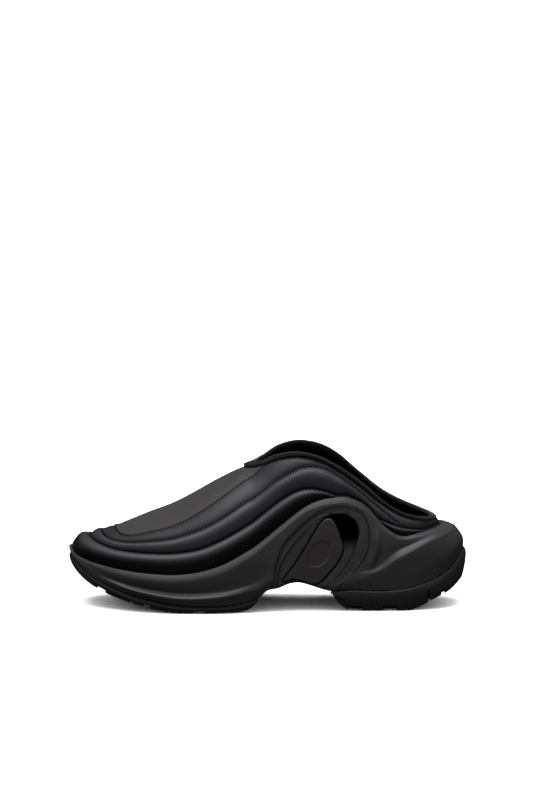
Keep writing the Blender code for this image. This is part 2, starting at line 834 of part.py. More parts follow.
def groove_list(rows, lug_depth, sipes):
    """Stations, widths and depths of a tread's grooves and narrow sipes."""
    wide = [(station, width, lug_depth) for station, width in zip(rows["station"], rows["width"])]
    return wide + [(station, SIPE_WIDTH / LENGTH, SIPE_DEPTH) for station in sipes]


def make_insole():
    """The footbed inside the upper, on the cup's floor."""
    foot = inner_rows[0]
    normal = plan_normals(foot)
    station = foot[:, :1] / LENGTH + 0.5
    inset = INSOLE_MARGIN + INSOLE_TOE_MARGIN * (1.0 - smooth((station - TOE_TIP) / INSOLE_TOE_RUN))
    low = foot - normal * inset
    low[:, 2] = read(LAST, "footbed", low[:, 0] / LENGTH + 0.5, TOE_TIP) * INSTEP_HEIGHT
    high = low - normal * INSOLE_MARGIN
    high[:, 2] = low[:, 2] + INSOLE_THICKNESS
    solid = Solid()
    rings = [solid.ring(low), solid.ring(high)]
    solid.band(rings[0], rings[1])
    solid.span(rings[0])
    solid.span(rings[1])
    return solid.build("insole", INSOLE_COLOUR, 0.9)


def stand_on_floor():
    """Move every piece so that the shoe's box is centred on the origin and stands on the floor."""
    treads = [bpy.data.objects[name] for name in ("outsole_forefoot", "outsole_heel", "midsole")]
    corners = np.array([tuple(corner.co) for piece in treads for corner in piece.data.vertices])
    middle = (corners.min(axis=0) + corners.max(axis=0)) / 2.0
    for piece in bpy.data.objects:
        shift = mathutils.Matrix.Translation((-middle[0], -middle[1], 0.0))
        piece.data.transform(shift)


for old in list(bpy.data.objects):
    bpy.data.objects.remove(old, do_unlink=True)

make_upper()
make_binding()
make_midsole()
fore_tread = make_tread("outsole_forefoot", FORE_TREAD, 0.0, FORE_TREAD_END, 0.0)
cut(fore_tread, make_grooves("fore_grooves", FORE_TREAD, groove_list(FORE_LUGS, FORE_LUG_DEPTH, FORE_SIPES)))
heel_tread = make_tread("outsole_heel", HEEL_TREAD, HEEL_TREAD_FRONT, 1.0, HEEL_FLARE)
cut(heel_tread, make_grooves("heel_grooves", HEEL_TREAD, groove_list(HEEL_LUGS, HEEL_LUG_DEPTH, HEEL_SIPES)))
make_insole()
stand_on_floor()
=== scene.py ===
# %% [markdown]
# # A sneaker mule
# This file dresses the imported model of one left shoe. The toe points to -X, the side that the camera
# sees is at -Y, and the floor is at height 0. Lengths are in metres.

# %% Load the frame
import math

import bmesh
import bpy
import numpy as np
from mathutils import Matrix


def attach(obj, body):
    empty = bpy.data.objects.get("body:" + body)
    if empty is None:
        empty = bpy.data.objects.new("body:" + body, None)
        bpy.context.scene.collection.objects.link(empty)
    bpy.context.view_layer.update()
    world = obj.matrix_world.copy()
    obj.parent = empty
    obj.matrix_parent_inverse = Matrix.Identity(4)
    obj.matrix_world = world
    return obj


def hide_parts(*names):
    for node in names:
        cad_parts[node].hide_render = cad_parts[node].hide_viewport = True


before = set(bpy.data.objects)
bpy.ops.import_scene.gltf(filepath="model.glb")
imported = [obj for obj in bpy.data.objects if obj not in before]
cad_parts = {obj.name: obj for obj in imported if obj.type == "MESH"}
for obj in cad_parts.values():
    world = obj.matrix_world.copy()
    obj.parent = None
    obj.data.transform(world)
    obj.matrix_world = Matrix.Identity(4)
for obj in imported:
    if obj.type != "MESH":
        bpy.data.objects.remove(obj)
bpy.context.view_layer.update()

print("nodes", sorted(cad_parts))

# %% [markdown]
# ## The camera
# The shoe is seen from its lateral side, a little from above. A long lens far away keeps the near and
# the far side the same size, as in a catalogue picture. PIXEL is the length that one pixel of the
# picture covers at the shoe.

# %% Camera
ELEVATION = math.radians(8.75)
DISTANCE = 16.0
PIXEL = 0.0007538
PICTURE_WIDTH, PICTURE_HEIGHT = 533, 800
FLOOR_ROW, MIDDLE_COLUMN = 603.0, 267.0

camera_data = bpy.data.cameras.new("camera")
camera_data.lens = camera_data.sensor_width * DISTANCE / (PICTURE_HEIGHT * PIXEL)
camera = bpy.data.objects.new("camera", camera_data)
bpy.context.scene.collection.objects.link(camera)
bpy.context.scene.camera = camera
forward = np.array([0.0, math.cos(ELEVATION), -math.sin(ELEVATION)])
upward = np.array([0.0, math.sin(ELEVATION), math.cos(ELEVATION)])
aim = upward * (FLOOR_ROW - PICTURE_HEIGHT / 2.0) * PIXEL
aim[0] += (PICTURE_WIDTH / 2.0 - MIDDLE_COLUMN) * PIXEL
camera.location = aim - forward * DISTANCE
camera.rotation_euler = (math.pi / 2.0 - ELEVATION, 0.0, 0.0)
print("lens", round(camera_data.lens, 1), "mm")

# %% [markdown]
# ## Writing materials as sums
# A material is a graph of nodes. Wire wraps one socket of it, so that `1 - mask * 0.4` adds the Math
# nodes by itself. Finish holds the material: constants go straight to the shader, and one method makes
# any other node from its type, its settings and its inputs.

# %% Material helpers


class Wire:
    """A socket in an expression: each operator adds a Math node, with a number on either side."""

    def __init__(self, finish, socket):
        self.finish = finish
        self.socket = socket

    def math(self, operation, *others):
        return self.finish.node("ShaderNodeMath", {"operation": operation}, (self, *others))

    def __add__(self, other):
        return self.math("ADD", other)

    def __sub__(self, other):
        return self.math("SUBTRACT", other)

    def __rsub__(self, other):
        return self * -1.0 + other

    def __mul__(self, other):
        return self.math("MULTIPLY", other)

    def __truediv__(self, other):
        return self.math("DIVIDE", other)

    def __pow__(self, other):
        return self.math("POWER", other)

    __radd__ = __add__
    __rmul__ = __mul__


class Finish:
    """A material under way, on one Principled shader."""

    def __init__(self, name, **constants):
        self.material = bpy.data.materials.new(name)
        self.material.use_nodes = True
        self.tree = self.material.node_tree
        self.shader = self.tree.nodes["Principled BSDF"]
        for key, value in constants.items():
            self.feed(self.shader.inputs[key.replace("_", " ")], value)

    def feed(self, socket, value):
        if isinstance(value, Wire):
            self.tree.links.new(value.socket, socket)
        else:
            socket.default_value = value

    def shade(self, **inputs):
        """Feeds what changes over the surface to the shader."""
        for key, value in inputs.items():
            self.feed(self.shader.inputs[key.replace("_", " ")], value)
        return self.material

    def node(self, kind, settings=(), inputs=(), output=0):
        """Any node: its settings first, then its inputs by number or name. Gives one output."""
        made = self.tree.nodes.new(kind)
        for key, value in dict(settings).items():
            setattr(made, key, value)
        for key, value in inputs.items() if isinstance(inputs, dict) else enumerate(inputs):
            self.feed(made.inputs[key], value)
        return Wire(self, made.outputs[output])

    def mark(self, name):
        """A number that the mesh carries at each of its points."""
        return self.node("ShaderNodeAttribute", {"attribute_name": name}, (), "Fac")

    def place(self):
        """Object coordinates, in metres."""
        return self.node("ShaderNodeTexCoord", (), (), "Object")

    def noise(self, scale, detail=2.0):
        """Soft noise from 0 to 1, with about scale blotches to the metre."""
        inputs = {"Vector": self.place(), "Scale": scale, "Detail": detail}
        return self.node("ShaderNodeTexNoise", {}, inputs, "Fac")

    def cells(self, scale):
        """Distance from the middle of irregular cells, scale of them to the metre."""
        inputs = {"Vector": self.place(), "Scale": scale}
        return self.node("ShaderNodeTexVoronoi", {"feature": "F1"}, inputs, "Distance")

    def blend(self, share, first, second):
        """A colour that goes from the first to the second as share goes from 0 to 1."""
        first, second = [
            value if isinstance(value, Wire) else (*value, 1.0) for value in (first, second)]
        return self.node("ShaderNodeMix", {"data_type": "RGBA"}, {0: share, 6: first, 7: second}, 2)

    def along_map(self):
        """The piece's own map, in metres: the way along it and the way across it."""
        vector = self.node("ShaderNodeUVMap", {"uv_map": "map"})
        return [self.node("ShaderNodeSeparateXYZ", {}, [vector], axis) for axis in ("X", "Y")]

    def bump(self, height, distance, normal=None):
        """Relief of a height from 0 to 1, distance metres deep."""
        inputs = {"Height": height, "Distance": distance, "Strength": 1.0}
        if normal:
            inputs["Normal"] = normal
        return self.node("ShaderNodeBump", {}, inputs)


# %% [markdown]
# ## The floor and the light
# The shoe stands on a plain white floor that fills the picture, so the floor is also the backdrop. It
# has a light of its own, and is left out of reflections and bounced light, so that it stays white and
# the shoe black. One wide soft light from above does nearly all the work: black goods show their form
# by the highlights on what faces up. A weak light from below stands for the floor's bounce.

# %% Stage
FLOOR_REACH = 30.0
FLOOR_STEPS = 5
side = np.linspace(-FLOOR_REACH, FLOOR_REACH, FLOOR_STEPS)
floor_mesh = bpy.data.meshes.new("floor")
level = np.zeros((FLOOR_STEPS, FLOOR_STEPS))
corners = np.stack([*np.meshgrid(side, side, indexing="ij"), level], axis=-1)
number = np.arange(FLOOR_STEPS**2).reshape(FLOOR_STEPS, FLOOR_STEPS)
tiles = np.stack([number[:-1, :-1], number[1:, :-1], number[1:, 1:], number[:-1, 1:]], axis=-1)
floor_mesh.from_pydata(corners.reshape(-1, 3).tolist(), [], tiles.reshape(-1, 4).tolist())
floor = bpy.data.objects.new("floor", floor_mesh)
bpy.context.scene.collection.objects.link(floor)
floor_finish = Finish(
    "pale floor", Base_Color=(0.92, 0.92, 0.92, 1.0), Roughness=1.0, Specular_IOR_Level=0.0)
floor_mesh.materials.append(floor_finish.material)
floor.visible_glossy = False
floor.visible_diffuse = False
floor.visible_shadow = False

# %% Light
SKY = 0.03


def make_light(name, strength, width, tilt_forward, tilt_left):
    """A far, wide and even light: its strength, the angle it fills and how it leans."""
    data = bpy.data.lights.new(name, "SUN")
    data.energy = strength
    data.angle = math.radians(width)
    light = bpy.data.objects.new(name, data)
    light.rotation_euler = (math.radians(tilt_forward), math.radians(tilt_left), 0.0)
    bpy.context.scene.collection.objects.link(light)
    return light


make_light("overhead softbox", 4.2, 50.0, 13.0, -6.0)
make_light("wide fill", 0.55, 150.0, 0.0, 0.0)
make_light("bounce from the floor", 0.30, 100.0, 130.0, 0.0)
floor_light = make_light("floor wash", 5.2, 130.0, 22.0, 0.0)
washed = bpy.data.collections.new("washed")
washed.objects.link(floor)
floor_light.light_linking.receiver_collection = washed

world = bpy.data.worlds.new("dim studio")
world.use_nodes = True
world.node_tree.nodes["Background"].inputs["Color"].default_value = (1.0, 1.0, 1.0, 1.0)
world.node_tree.nodes["Background"].inputs["Strength"].default_value = SKY
bpy.context.scene.world = world
bpy.context.scene.view_settings.view_transform = "Standard"
print("sky", SKY)

# %% [markdown]
# ## The last
# A shoe is built round a last, a solid form of the foot. Here the last is a function: tables give each
# section's half width, its widest height and how far the vamp rises over it, and a superellipse joins
# them. Every curved piece is worked out from it, so they all fit each other. The tables hold shares of
# three sizes, and a root keeps the toe round.

# %% Sizes
LENGTH = 0.300
BALL_WIDTH = 0.110
INSTEP_HEIGHT = 0.1195
UPPER_WALL = 0.0017
GAP = 0.0003
SIDE_DEPTH = 0.0060
PLACE = np.array([0.00004, -0.00008, 0.0])

TOE_TIP = 0.010
SPINE_START = 0.20
THROAT = 0.447
THROAT_REACH = 0.16
HEEL_BACK = 0.937
COLLAR_BACK = 0.926
HEEL_TURN = 0.78
BOX = 0.92
HEEL_ROUND = 2.5
TUCK = 0.10
RING_STEP = 0.012


# %% Tables


def table(names, rows):
    """Columns by name from rows of numbers."""
    return dict(zip(names.split(), np.array(rows, dtype=float).T))


LAST = table("station swing half_width girth footbed", [
    (0.010, 0.060, 0.000, 0.366, 0.345),
    (0.030, 0.055, 0.172, 0.310, 0.286),
    (0.080, 0.048, 0.298, 0.268, 0.230),
    (0.131, 0.040, 0.376, 0.243, 0.190),
    (0.206, 0.022, 0.440, 0.226, 0.160),
    (0.269, 0.005, 0.459, 0.222, 0.151),
    (0.332, -0.005, 0.459, 0.230, 0.155),
    (0.382, -0.012, 0.446, 0.243, 0.168),
    (0.432, -0.020, 0.414, 0.264, 0.186),
    (0.482, -0.025, 0.385, 0.285, 0.206),
    (0.533, -0.025, 0.366, 0.305, 0.226),
    (0.583, -0.022, 0.352, 0.320, 0.240),
    (0.683, -0.012, 0.342, 0.345, 0.252),
    (0.759, -0.004, 0.341, 0.360, 0.256),
    (0.834, 0.000, 0.338, 0.368, 0.260),
    (1.000, 0.000, 0.336, 0.370, 0.262),
])
VAMP = table("station rise", [
    (0.010, 0.000), (0.035, 0.100), (0.055, 0.142), (0.085, 0.192), (0.118, 0.236), (0.150, 0.274),
    (0.211, 0.350), (0.271, 0.415), (0.332, 0.491), (0.372, 0.540), (0.432, 0.592), (0.447, 0.600),
])
COLLAR = table("station height narrowing", [
    (0.447, 0.870, 0.00),
    (0.465, 0.879, 0.20),
    (0.482, 0.896, 0.31),
    (0.533, 0.950, 0.54),
    (0.583, 0.970, 0.66),
    (0.633, 0.941, 0.71),
    (0.683, 0.874, 0.74),
    (0.734, 0.780, 0.77),
    (0.784, 0.678, 0.80),
    (0.834, 0.600, 0.84),
    (0.884, 0.559, 0.88),
    (0.940, 0.540, 0.90),
])
FEATHER = table("station turn", [
    (0.010, 1.00), (0.0105, 0.20), (0.012, 0.08), (0.030, 0.040), (0.080, 0.042), (0.131, 0.040),
    (0.206, 0.030), (0.281, 0.027), (0.357, 0.044), (0.407, 0.072), (0.457, 0.116), (0.508, 0.168),
    (0.558, 0.212), (0.608, 0.258), (0.658, 0.295), (0.709, 0.332), (0.759, 0.310), (0.796, 0.214),
    (0.834, 0.152), (0.884, 0.188), (0.937, 0.240),
])
SEAM_C = table("station turn", [
    (0.055, 1.00), (0.080, 0.52), (0.106, 0.40), (0.156, 0.31), (0.206, 0.26), (0.281, 0.225),
    (0.332, 0.215), (0.382, 0.235), (0.432, 0.268), (0.482, 0.318), (0.533, 0.340), (0.583, 0.345),
    (0.671, 0.322), (0.720, 0.300), (0.937, 0.200),
])
SEAM_B = table("station turn", [
    (0.085, 1.00), (0.106, 0.60), (0.131, 0.51), (0.206, 0.414), (0.307, 0.388), (0.357, 0.395),
    (0.407, 0.430), (0.457, 0.485), (0.508, 0.500), (0.558, 0.482), (0.658, 0.466), (0.746, 0.405),
    (0.786, 0.368), (0.822, 0.298), (0.850, 0.200), (0.937, 0.200),
])
SEAM_A = table("station turn", [
    (0.118, 1.00), (0.135, 0.66), (0.156, 0.59), (0.206, 0.553), (0.256, 0.546), (0.332, 0.575),
    (0.382, 0.621), (0.432, 0.688), (0.465, 0.740), (0.508, 0.760), (0.937, 0.760),
])
FORE_TREAD = table("station underside", [
    (0.000, 0.300), (0.008, 0.265), (0.018, 0.236), (0.030, 0.205), (0.055, 0.159), (0.080, 0.125),
    (0.105, 0.098), (0.131, 0.075), (0.156, 0.055), (0.206, 0.027), (0.250, 0.007), (0.280, 0.000),
    (0.410, 0.000), (0.432, 0.006), (0.457, 0.024), (0.482, 0.082),
])
HEEL_TREAD = table("station underside", [
    (0.664, 0.104), (0.683, 0.044), (0.700, 0.014), (0.715, 0.000), (0.845, 0.000), (0.865, 0.008),
    (0.884, 0.026), (0.910, 0.060), (0.935, 0.090), (0.965, 0.131), (0.980, 0.165), (0.990, 0.192),
    (1.000, 0.250),
])
FOAM = table("station underside", [
    (0.000, 0.362), (0.008, 0.322), (0.018, 0.288), (0.030, 0.257), (0.055, 0.211), (0.080, 0.178),
    (0.105, 0.152), (0.131, 0.129), (0.156, 0.109), (0.206, 0.081), (0.250, 0.062), (0.281, 0.052),
    (0.344, 0.046), (0.410, 0.052), (0.432, 0.061), (0.457, 0.076), (0.482, 0.102), (0.498, 0.138),
    (0.528, 0.157), (0.560, 0.186), (0.580, 0.190), (0.608, 0.172), (0.633, 0.150), (0.664, 0.132),
    (0.700, 0.138), (0.784, 0.134), (0.834, 0.141), (0.859, 0.151), (0.884, 0.169), (0.910, 0.192),
    (0.935, 0.222), (0.960, 0.264), (0.977, 0.312), (1.000, 0.385),
])
SIDE = table("station foot_out wall_out ridge_rise ridge_out groove_rise groove_out "
             "lip_rise lip_out edge_out", [
    (0.010, 0.33, 0.35, 0.30, 0.37, 0.50, 0.38, 0.80, 0.36, 0.20),
    (0.080, 0.38, 0.44, 0.30, 0.47, 0.46, 0.46, 0.78, 0.46, 0.28),
    (0.131, 0.40, 0.56, 0.29, 0.70, 0.45, 0.44, 0.76, 0.66, 0.44),
    (0.206, 0.42, 0.70, 0.27, 0.98, 0.44, 0.42, 0.76, 0.80, 0.52),
    (0.332, 0.42, 0.72, 0.25, 1.02, 0.42, 0.44, 0.80, 0.84, 0.54),
    (0.432, 0.42, 0.68, 0.23, 0.94, 0.39, 0.62, 0.84, 0.90, 0.60),
    (0.533, 0.46, 0.71, 0.16, 0.84, 0.34, 0.88, 0.90, 0.90, 0.62),
    (0.633, 0.46, 0.71, 0.14, 0.84, 0.34, 0.90, 0.92, 0.90, 0.62),
    (0.710, 0.56, 0.79, 0.10, 0.92, 0.24, 0.88, 0.92, 0.88, 0.60),
    (0.784, 0.66, 0.94, 0.31, 1.16, 0.45, 0.70, 0.92, 0.70, 0.50),
    (0.834, 0.84, 1.20, 0.63, 1.42, 0.84, 0.62, 0.94, 0.66, 0.46),
    (0.884, 1.50, 1.80, 0.80, 1.66, 0.91, 1.04, 0.96, 0.84, 0.44),
    (0.937, 2.80, 2.72, 0.86, 1.86, 0.93, 1.57, 0.97, 1.30, 1.00),
])
LEDGE_OUTLINE = table("station height", [
    (0.522, 0.100), (0.518, 0.220), (0.524, 0.320), (0.540, 0.427), (0.565, 0.503), (0.595, 0.574),
    (0.633, 0.640), (0.665, 0.667), (0.700, 0.668), (0.734, 0.633), (0.751, 0.567), (0.756, 0.480),
    (0.750, 0.380), (0.722, 0.270), (0.685, 0.180), (0.655, 0.100),
])
WINDOW_OUTLINE = table("station height", [
    (0.531, 0.100), (0.526, 0.180), (0.530, 0.265), (0.541, 0.342), (0.560, 0.412), (0.584, 0.486),
    (0.610, 0.552), (0.643, 0.608), (0.690, 0.618), (0.718, 0.582), (0.729, 0.520), (0.724, 0.440),
    (0.707, 0.335), (0.678, 0.235), (0.645, 0.160), (0.625, 0.100),
])
PLATE_OUTLINE = table("station height", [
    (0.540, 0.200), (0.548, 0.232), (0.570, 0.306), (0.595, 0.402), (0.616, 0.492), (0.636, 0.570),
    (0.652, 0.596), (0.666, 0.580), (0.678, 0.520), (0.688, 0.440), (0.690, 0.390), (0.676, 0.316),
    (0.654, 0.250), (0.632, 0.192), (0.608, 0.184), (0.583, 0.206), (0.562, 0.214),
])
print("tables", len(LAST["station"]), "sections")

# %% Curves


def hermite(keys, values, at):
    """Smooth curve through the rows: cubic pieces whose slopes are the neighbours' mean slopes."""
    slopes = np.gradient(values, keys, axis=0)
    at = np.clip(at, keys[0], keys[-1])
    left = np.clip(np.searchsorted(keys, at, side="right") - 1, 0, len(keys) - 2)
    step = keys[left + 1] - keys[left]
    part = (at - keys[left]) / step
    if values.ndim > 1:
        step, part = step[..., None], part[..., None]
    rest = 1.0 - part
    start = (1.0 + 2.0 * part) * rest**2 * values[left] + part * rest**2 * step * slopes[left]
    end = part**2 * (3.0 - 2.0 * part) * values[left + 1] - part**2 * rest * step * slopes[left + 1]
    return start + end


def read(rows, column, station, start=0.0):
    """A column at any station. The root of the distance from start keeps a blunt nose round."""
    keys = np.sqrt(np.maximum(rows["station"] - start, 0.0))
    return hermite(keys, rows[column], np.sqrt(np.maximum(station - start, 0.0)))


def smooth(value):
    """0 below 0, 1 above 1, and an even ramp between."""
    value = np.clip(value, 0.0, 1.0)
    return value * value * (3.0 - 2.0 * value)


def between(value, first, first_run, last, last_run):
    """1 from first to last, with an even ramp inside each end."""
    return smooth((value - first) / first_run) * smooth((last - value) / last_run)


# %% The loop round the shoe
STATIONS = 330
throat_travel = math.acos(1.0 - 2.0 * (THROAT - TOE_TIP) / (HEEL_BACK - TOE_TIP)) / math.pi
throat_index = round(throat_travel * STATIONS)
travel = np.append(
    np.linspace(0.0, throat_travel, throat_index + 1),
    np.linspace(throat_travel, 1.0, STATIONS - throat_index + 1)[1:])
base_station = TOE_TIP + (HEEL_BACK - TOE_TIP) * (1.0 - np.cos(np.pi * travel)) / 2.0
heel_share = np.clip((base_station - HEEL_TURN) / (HEEL_BACK - HEEL_TURN), 0.0, 1.0)
heel_rounding = np.sqrt(1.0 - heel_share**HEEL_ROUND)


def ring_station(nose, back, crowding=0.0):
    """The base stations stretched to a nose and a back, and crowded behind the throat."""
    front = nose + (base_station - TOE_TIP) * (THROAT - nose) / (THROAT - TOE_TIP)
    rear = THROAT + (base_station - THROAT) * (back - THROAT) / (HEEL_BACK - THROAT)
    station = np.where(base_station <= THROAT, front, rear)
    share = np.clip((station - THROAT) / THROAT_REACH, 0.0, 1.0)
    return station - crowding * THROAT_REACH * (share - share**2 * (2.0 - share))


def narrowing_at(station):
    """The opening's half width as a share of the section's, 0 in front of the throat."""
    return np.where(station > THROAT, read(COLLAR, "narrowing", station, THROAT), 0.0)


def section_top(station):
    """Height of the section's closed top over its widest line, also where the opening cuts it."""
    share = np.clip(narrowing_at(station), 0.0, 0.99)
    edge = read(COLLAR, "height", station) - read(LAST, "girth", station, TOE_TIP)
    rise = np.sqrt(1.0 - share ** (2.0 / BOX)) ** BOX
    return np.where(station > THROAT, edge / rise, read(VAMP, "rise", station, TOE_TIP))


def last_point(station, turn, side, drop=0.0):
    """A point of the last: half width times cos(turn)^BOX out, rise times sin(turn)^BOX up.

    Below the widest line, drop runs from 0 to 1 at the footbed and the wall tucks in.
    """
    angle = np.clip(turn, 0.0, 1.0) * math.pi / 2.0
    half = read(LAST, "half_width", station, TOE_TIP) * heel_rounding * (1.0 - TUCK * drop**2)
    girth = read(LAST, "girth", station, TOE_TIP)
    footbed = read(LAST, "footbed", station, TOE_TIP)
    x = (station - 0.5) * LENGTH
    out = side * half * np.cos(angle).clip(0.0) ** BOX
    y = (read(LAST, "swing", station, TOE_TIP) + out) * BALL_WIDTH
    up = girth + section_top(station) * np.sin(angle) ** BOX - (girth - footbed) * drop
    return np.stack([x, y, up * INSTEP_HEIGHT], axis=-1)


def loop(make_side):
    """Both sides as one closed loop: the lateral side to the heel, then the medial side back."""
    return np.concatenate([make_side(-1.0), make_side(1.0)[-2:0:-1]])


def both_sides(values):
    """Values along one side that are the same on the other, round the whole loop."""
    return loop(lambda side: values)


def turn_at_height(station, height):
    """The turn at which the last's section reaches a height, both as shares."""
    over = (height - read(LAST, "girth", station, TOE_TIP)) / np.maximum(section_top(station), 1e-6)
    return np.arcsin(np.clip(over, 0.0, 1.0) ** (1.0 / BOX)) * 2.0 / math.pi


def grid_normals(rows):
    """Outward unit normals of a grid of closed loops, one loop above the other."""
    along = np.roll(rows, -1, axis=1) - np.roll(rows, 1, axis=1)
    up = np.gradient(rows, axis=0)
    normal = np.cross(along, up)
    return normal / np.maximum(np.linalg.norm(normal, axis=2, keepdims=True), 1e-12)


def plan_normals(ring):
    """Level unit normals of one closed loop."""
    along = np.roll(ring, -1, axis=0) - np.roll(ring, 1, axis=0)
    normal = np.stack([along[:, 1], -along[:, 0], np.zeros(len(ring))], axis=1)
    return normal / np.linalg.norm(normal, axis=1, keepdims=True)


feather_station = ring_station(TOE_TIP, HEEL_BACK)
feather_turn = read(FEATHER, "turn", feather_station, TOE_TIP)
top_station = ring_station(SPINE_START, COLLAR_BACK, 1.0)
edge_turn = np.arccos(np.clip(narrowing_at(top_station), 0.0, 1.0) ** (1.0 / BOX)) * 2.0 / math.pi
print("loop of", 2 * STATIONS, "points, throat at", throat_index)

# %% [markdown]
# ## From sheets of points to a piece
# Each surface is a grid of points, worked out as one array. make_piece turns such sheets into one mesh,
# welds the edges where they meet, and keeps a map and marks for the materials to read.

# %% Piece maker
WELD = 0.000001


class Sheet:
    """A grid of points, with its material's number, its map in metres and its marks."""

    def __init__(self, points, wrap=False, finish=0, uv=None, marks=None):
        self.points = points
        self.wrap = wrap
        self.finish = finish
        self.uv = uv
        self.marks = marks or {}

    def faces(self):
        """Corner numbers of the quads between neighbouring rows and columns, and their map corners."""
        rows, columns = self.points.shape[:2]
        number = np.arange(rows * columns).reshape(rows, columns)
        spread = np.arange(rows * (columns + self.wrap)).reshape(rows, columns + self.wrap)
        if self.wrap:
            number = np.hstack([number, number[:, :1]])
        quads = [np.stack([g[:-1, :-1], g[:-1, 1:], g[1:, 1:], g[1:, :-1]], axis=-1)
                 for g in (number, spread)]
        return [quad.reshape(-1, 4) for quad in quads]


def make_piece(name, sheets, finishes, replaces=(), sharp=None, outward=True):
    """One mesh object from sheets: welded, smooth shaded, facing outwards, riding on the shoe."""
    points, corners, maps, looks = [], [], [], []
    marks = {key: [] for sheet in sheets for key in sheet.marks}
    start = 0
    for sheet in sheets:
        count = sheet.points.shape[0] * sheet.points.shape[1]
        faces, spread = sheet.faces()
        points.append(sheet.points.reshape(-1, 3) + PLACE)
        corners.append(faces + start)
        blank = np.zeros((sheet.points.shape[0], sheet.points.shape[1] + sheet.wrap, 2))
        uv = blank if sheet.uv is None else sheet.uv
        maps.append(uv.reshape(-1, 2)[spread.ravel()])
        looks.append(np.broadcast_to(sheet.finish, len(faces)))
        for key, kept in marks.items():
            mark = sheet.marks.get(key, 0.0)
            kept.append(np.broadcast_to(mark, sheet.points.shape[:2]).ravel())
        start += count
    points, corners = np.concatenate(points), np.concatenate(corners)
    mesh = bpy.data.meshes.new(name)
    mesh.vertices.add(len(points))
    mesh.vertices.foreach_set("co", points.astype(np.float32).ravel())
    mesh.loops.add(corners.size)
    mesh.loops.foreach_set("vertex_index", corners.astype(np.int32).ravel())
    mesh.polygons.add(len(corners))
    mesh.polygons.foreach_set("loop_start", np.arange(0, corners.size, 4, dtype=np.int32))
    mesh.polygons.foreach_set("material_index", np.concatenate(looks).astype(np.int32))
    layer = mesh.uv_layers.new(name="map")
    layer.data.foreach_set("uv", np.concatenate(maps).astype(np.float32).ravel())
    for key, kept in marks.items():
        mark = mesh.attributes.new(key, "FLOAT", "POINT")
        mark.data.foreach_set("value", np.concatenate(kept).astype(np.float32))
    mesh.update(calc_edges=True)
    shape = bmesh.new()
    shape.from_mesh(mesh)
    bmesh.ops.remove_doubles(shape, verts=shape.verts, dist=WELD)
    bmesh.ops.dissolve_degenerate(shape, edges=shape.edges, dist=WELD)
    if outward:
        bmesh.ops.recalc_face_normals(shape, faces=shape.faces)
    open_edges = sum(1 for edge in shape.edges if len(edge.link_faces) != 2)
    shape.to_mesh(mesh)
    shape.free()
    for finish in finishes:
        mesh.materials.append(finish)
    mesh.shade_smooth()
    if sharp:
        mesh.set_sharp_from_angle(angle=math.radians(sharp))
    piece = bpy.data.objects.new(name, mesh)
    bpy.context.scene.collection.objects.link(piece)
    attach(piece, "root")
    if replaces:
        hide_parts(*replaces)
    triangles = sum(len(face.vertices) - 2 for face in mesh.polygons)
    print(name, triangles, "triangles,", open_edges, "open edges")
    return piece


def lengths_along(row):
    """Distance from a closed loop's first point to each point, and last to its first point again."""
    steps = np.linalg.norm(np.roll(row, -1, axis=0) - row, axis=1)
    return np.concatenate([[0.0], np.cumsum(steps)])


def across(ring, steps):
    """A sheet across a closed loop, from its lateral side to its medial side."""
    near = ring[: STATIONS + 1]
    far = np.concatenate([ring[:1], ring[: STATIONS - 1: -1]])
    share = np.linspace(0.0, 1.0, steps + 1)[None, :, None]
    return near[:, None] * (1.0 - share) + far[:, None] * share


# %% [markdown]
# ## The upper's leather
# The bands are a smooth, matte synthetic leather over thin foam. Fine cells and a finer noise give the
# grain, and broad patches of noise keep the sheen uneven. In the seams the colour is painted down to
# black as painted shade for the seam's crease, darkest at each stitch hole, and another mark paints
# shade on parts of the bands. The vamp between the seams is a softer, suede-like cloth.

# %% Leather and suede
STITCH = 0.0023
BLACK = (0.0012, 0.0011, 0.0014)


def seam_shade(finish):
    """Painted shade: 0 on the open leather, up to 1 in a seam's crease, and darkest at each stitch's hole.
    """
    hole = (finish.mark("along") * (2.0 * math.pi / STITCH)).math("COSINE") * 1.5 + 0.4
    hole = hole.math("MAXIMUM", 0.0).math("MINIMUM", 1.0)
    return finish.mark("seam") * (hole * 0.90)


leather = Finish("moulded leather", Specular_IOR_Level=0.50, Specular_Tint=(0.95, 0.92, 1.0, 1.0))
grain = leather.cells(1500.0)
fine = leather.noise(5200.0, 3.0)
patch = leather.noise(38.0, 3.0)
pucker = (leather.mark("along") * (2.0 * math.pi / STITCH)).math("COSINE") * leather.mark("near_seam")
base = leather.blend(patch, (0.0100, 0.0096, 0.0114), (0.0145, 0.0139, 0.0163))
# Painted shade: the seams and the marked parts of the bands are blended to black and lose their sheen.
shade = seam_shade(leather).math("MAXIMUM", leather.mark("painted_shade"))
leather.shade(
    Base_Color=leather.blend(shade, base, BLACK),
    Metallic=shade,
    Roughness=0.47 + patch * 0.10 + fine * 0.06,
    Normal=leather.bump(grain * 0.55 + fine * 0.45, 0.00010,
                        leather.bump(pucker, 0.00020)))

suede = Finish("suede-like cloth", Specular_IOR_Level=0.34, Specular_Tint=(1.0, 0.95, 0.97, 1.0),
               Sheen_Weight=0.10, Sheen_Roughness=0.5)
nap = suede.noise(2600.0, 4.0)
patch = suede.noise(45.0, 3.0)
base = suede.blend(patch, (0.0180, 0.0166, 0.0172), (0.0260, 0.0240, 0.0248))
# Painted shade, as on the leather: seams and marked parts go to black without sheen.
shade = seam_shade(suede).math("MAXIMUM", suede.mark("painted_shade"))
suede.shade(
    Base_Color=suede.blend(shade, base, BLACK),
    Metallic=shade,
    Roughness=0.56 + nap * 0.14,
    Normal=suede.bump(nap, 0.00012))
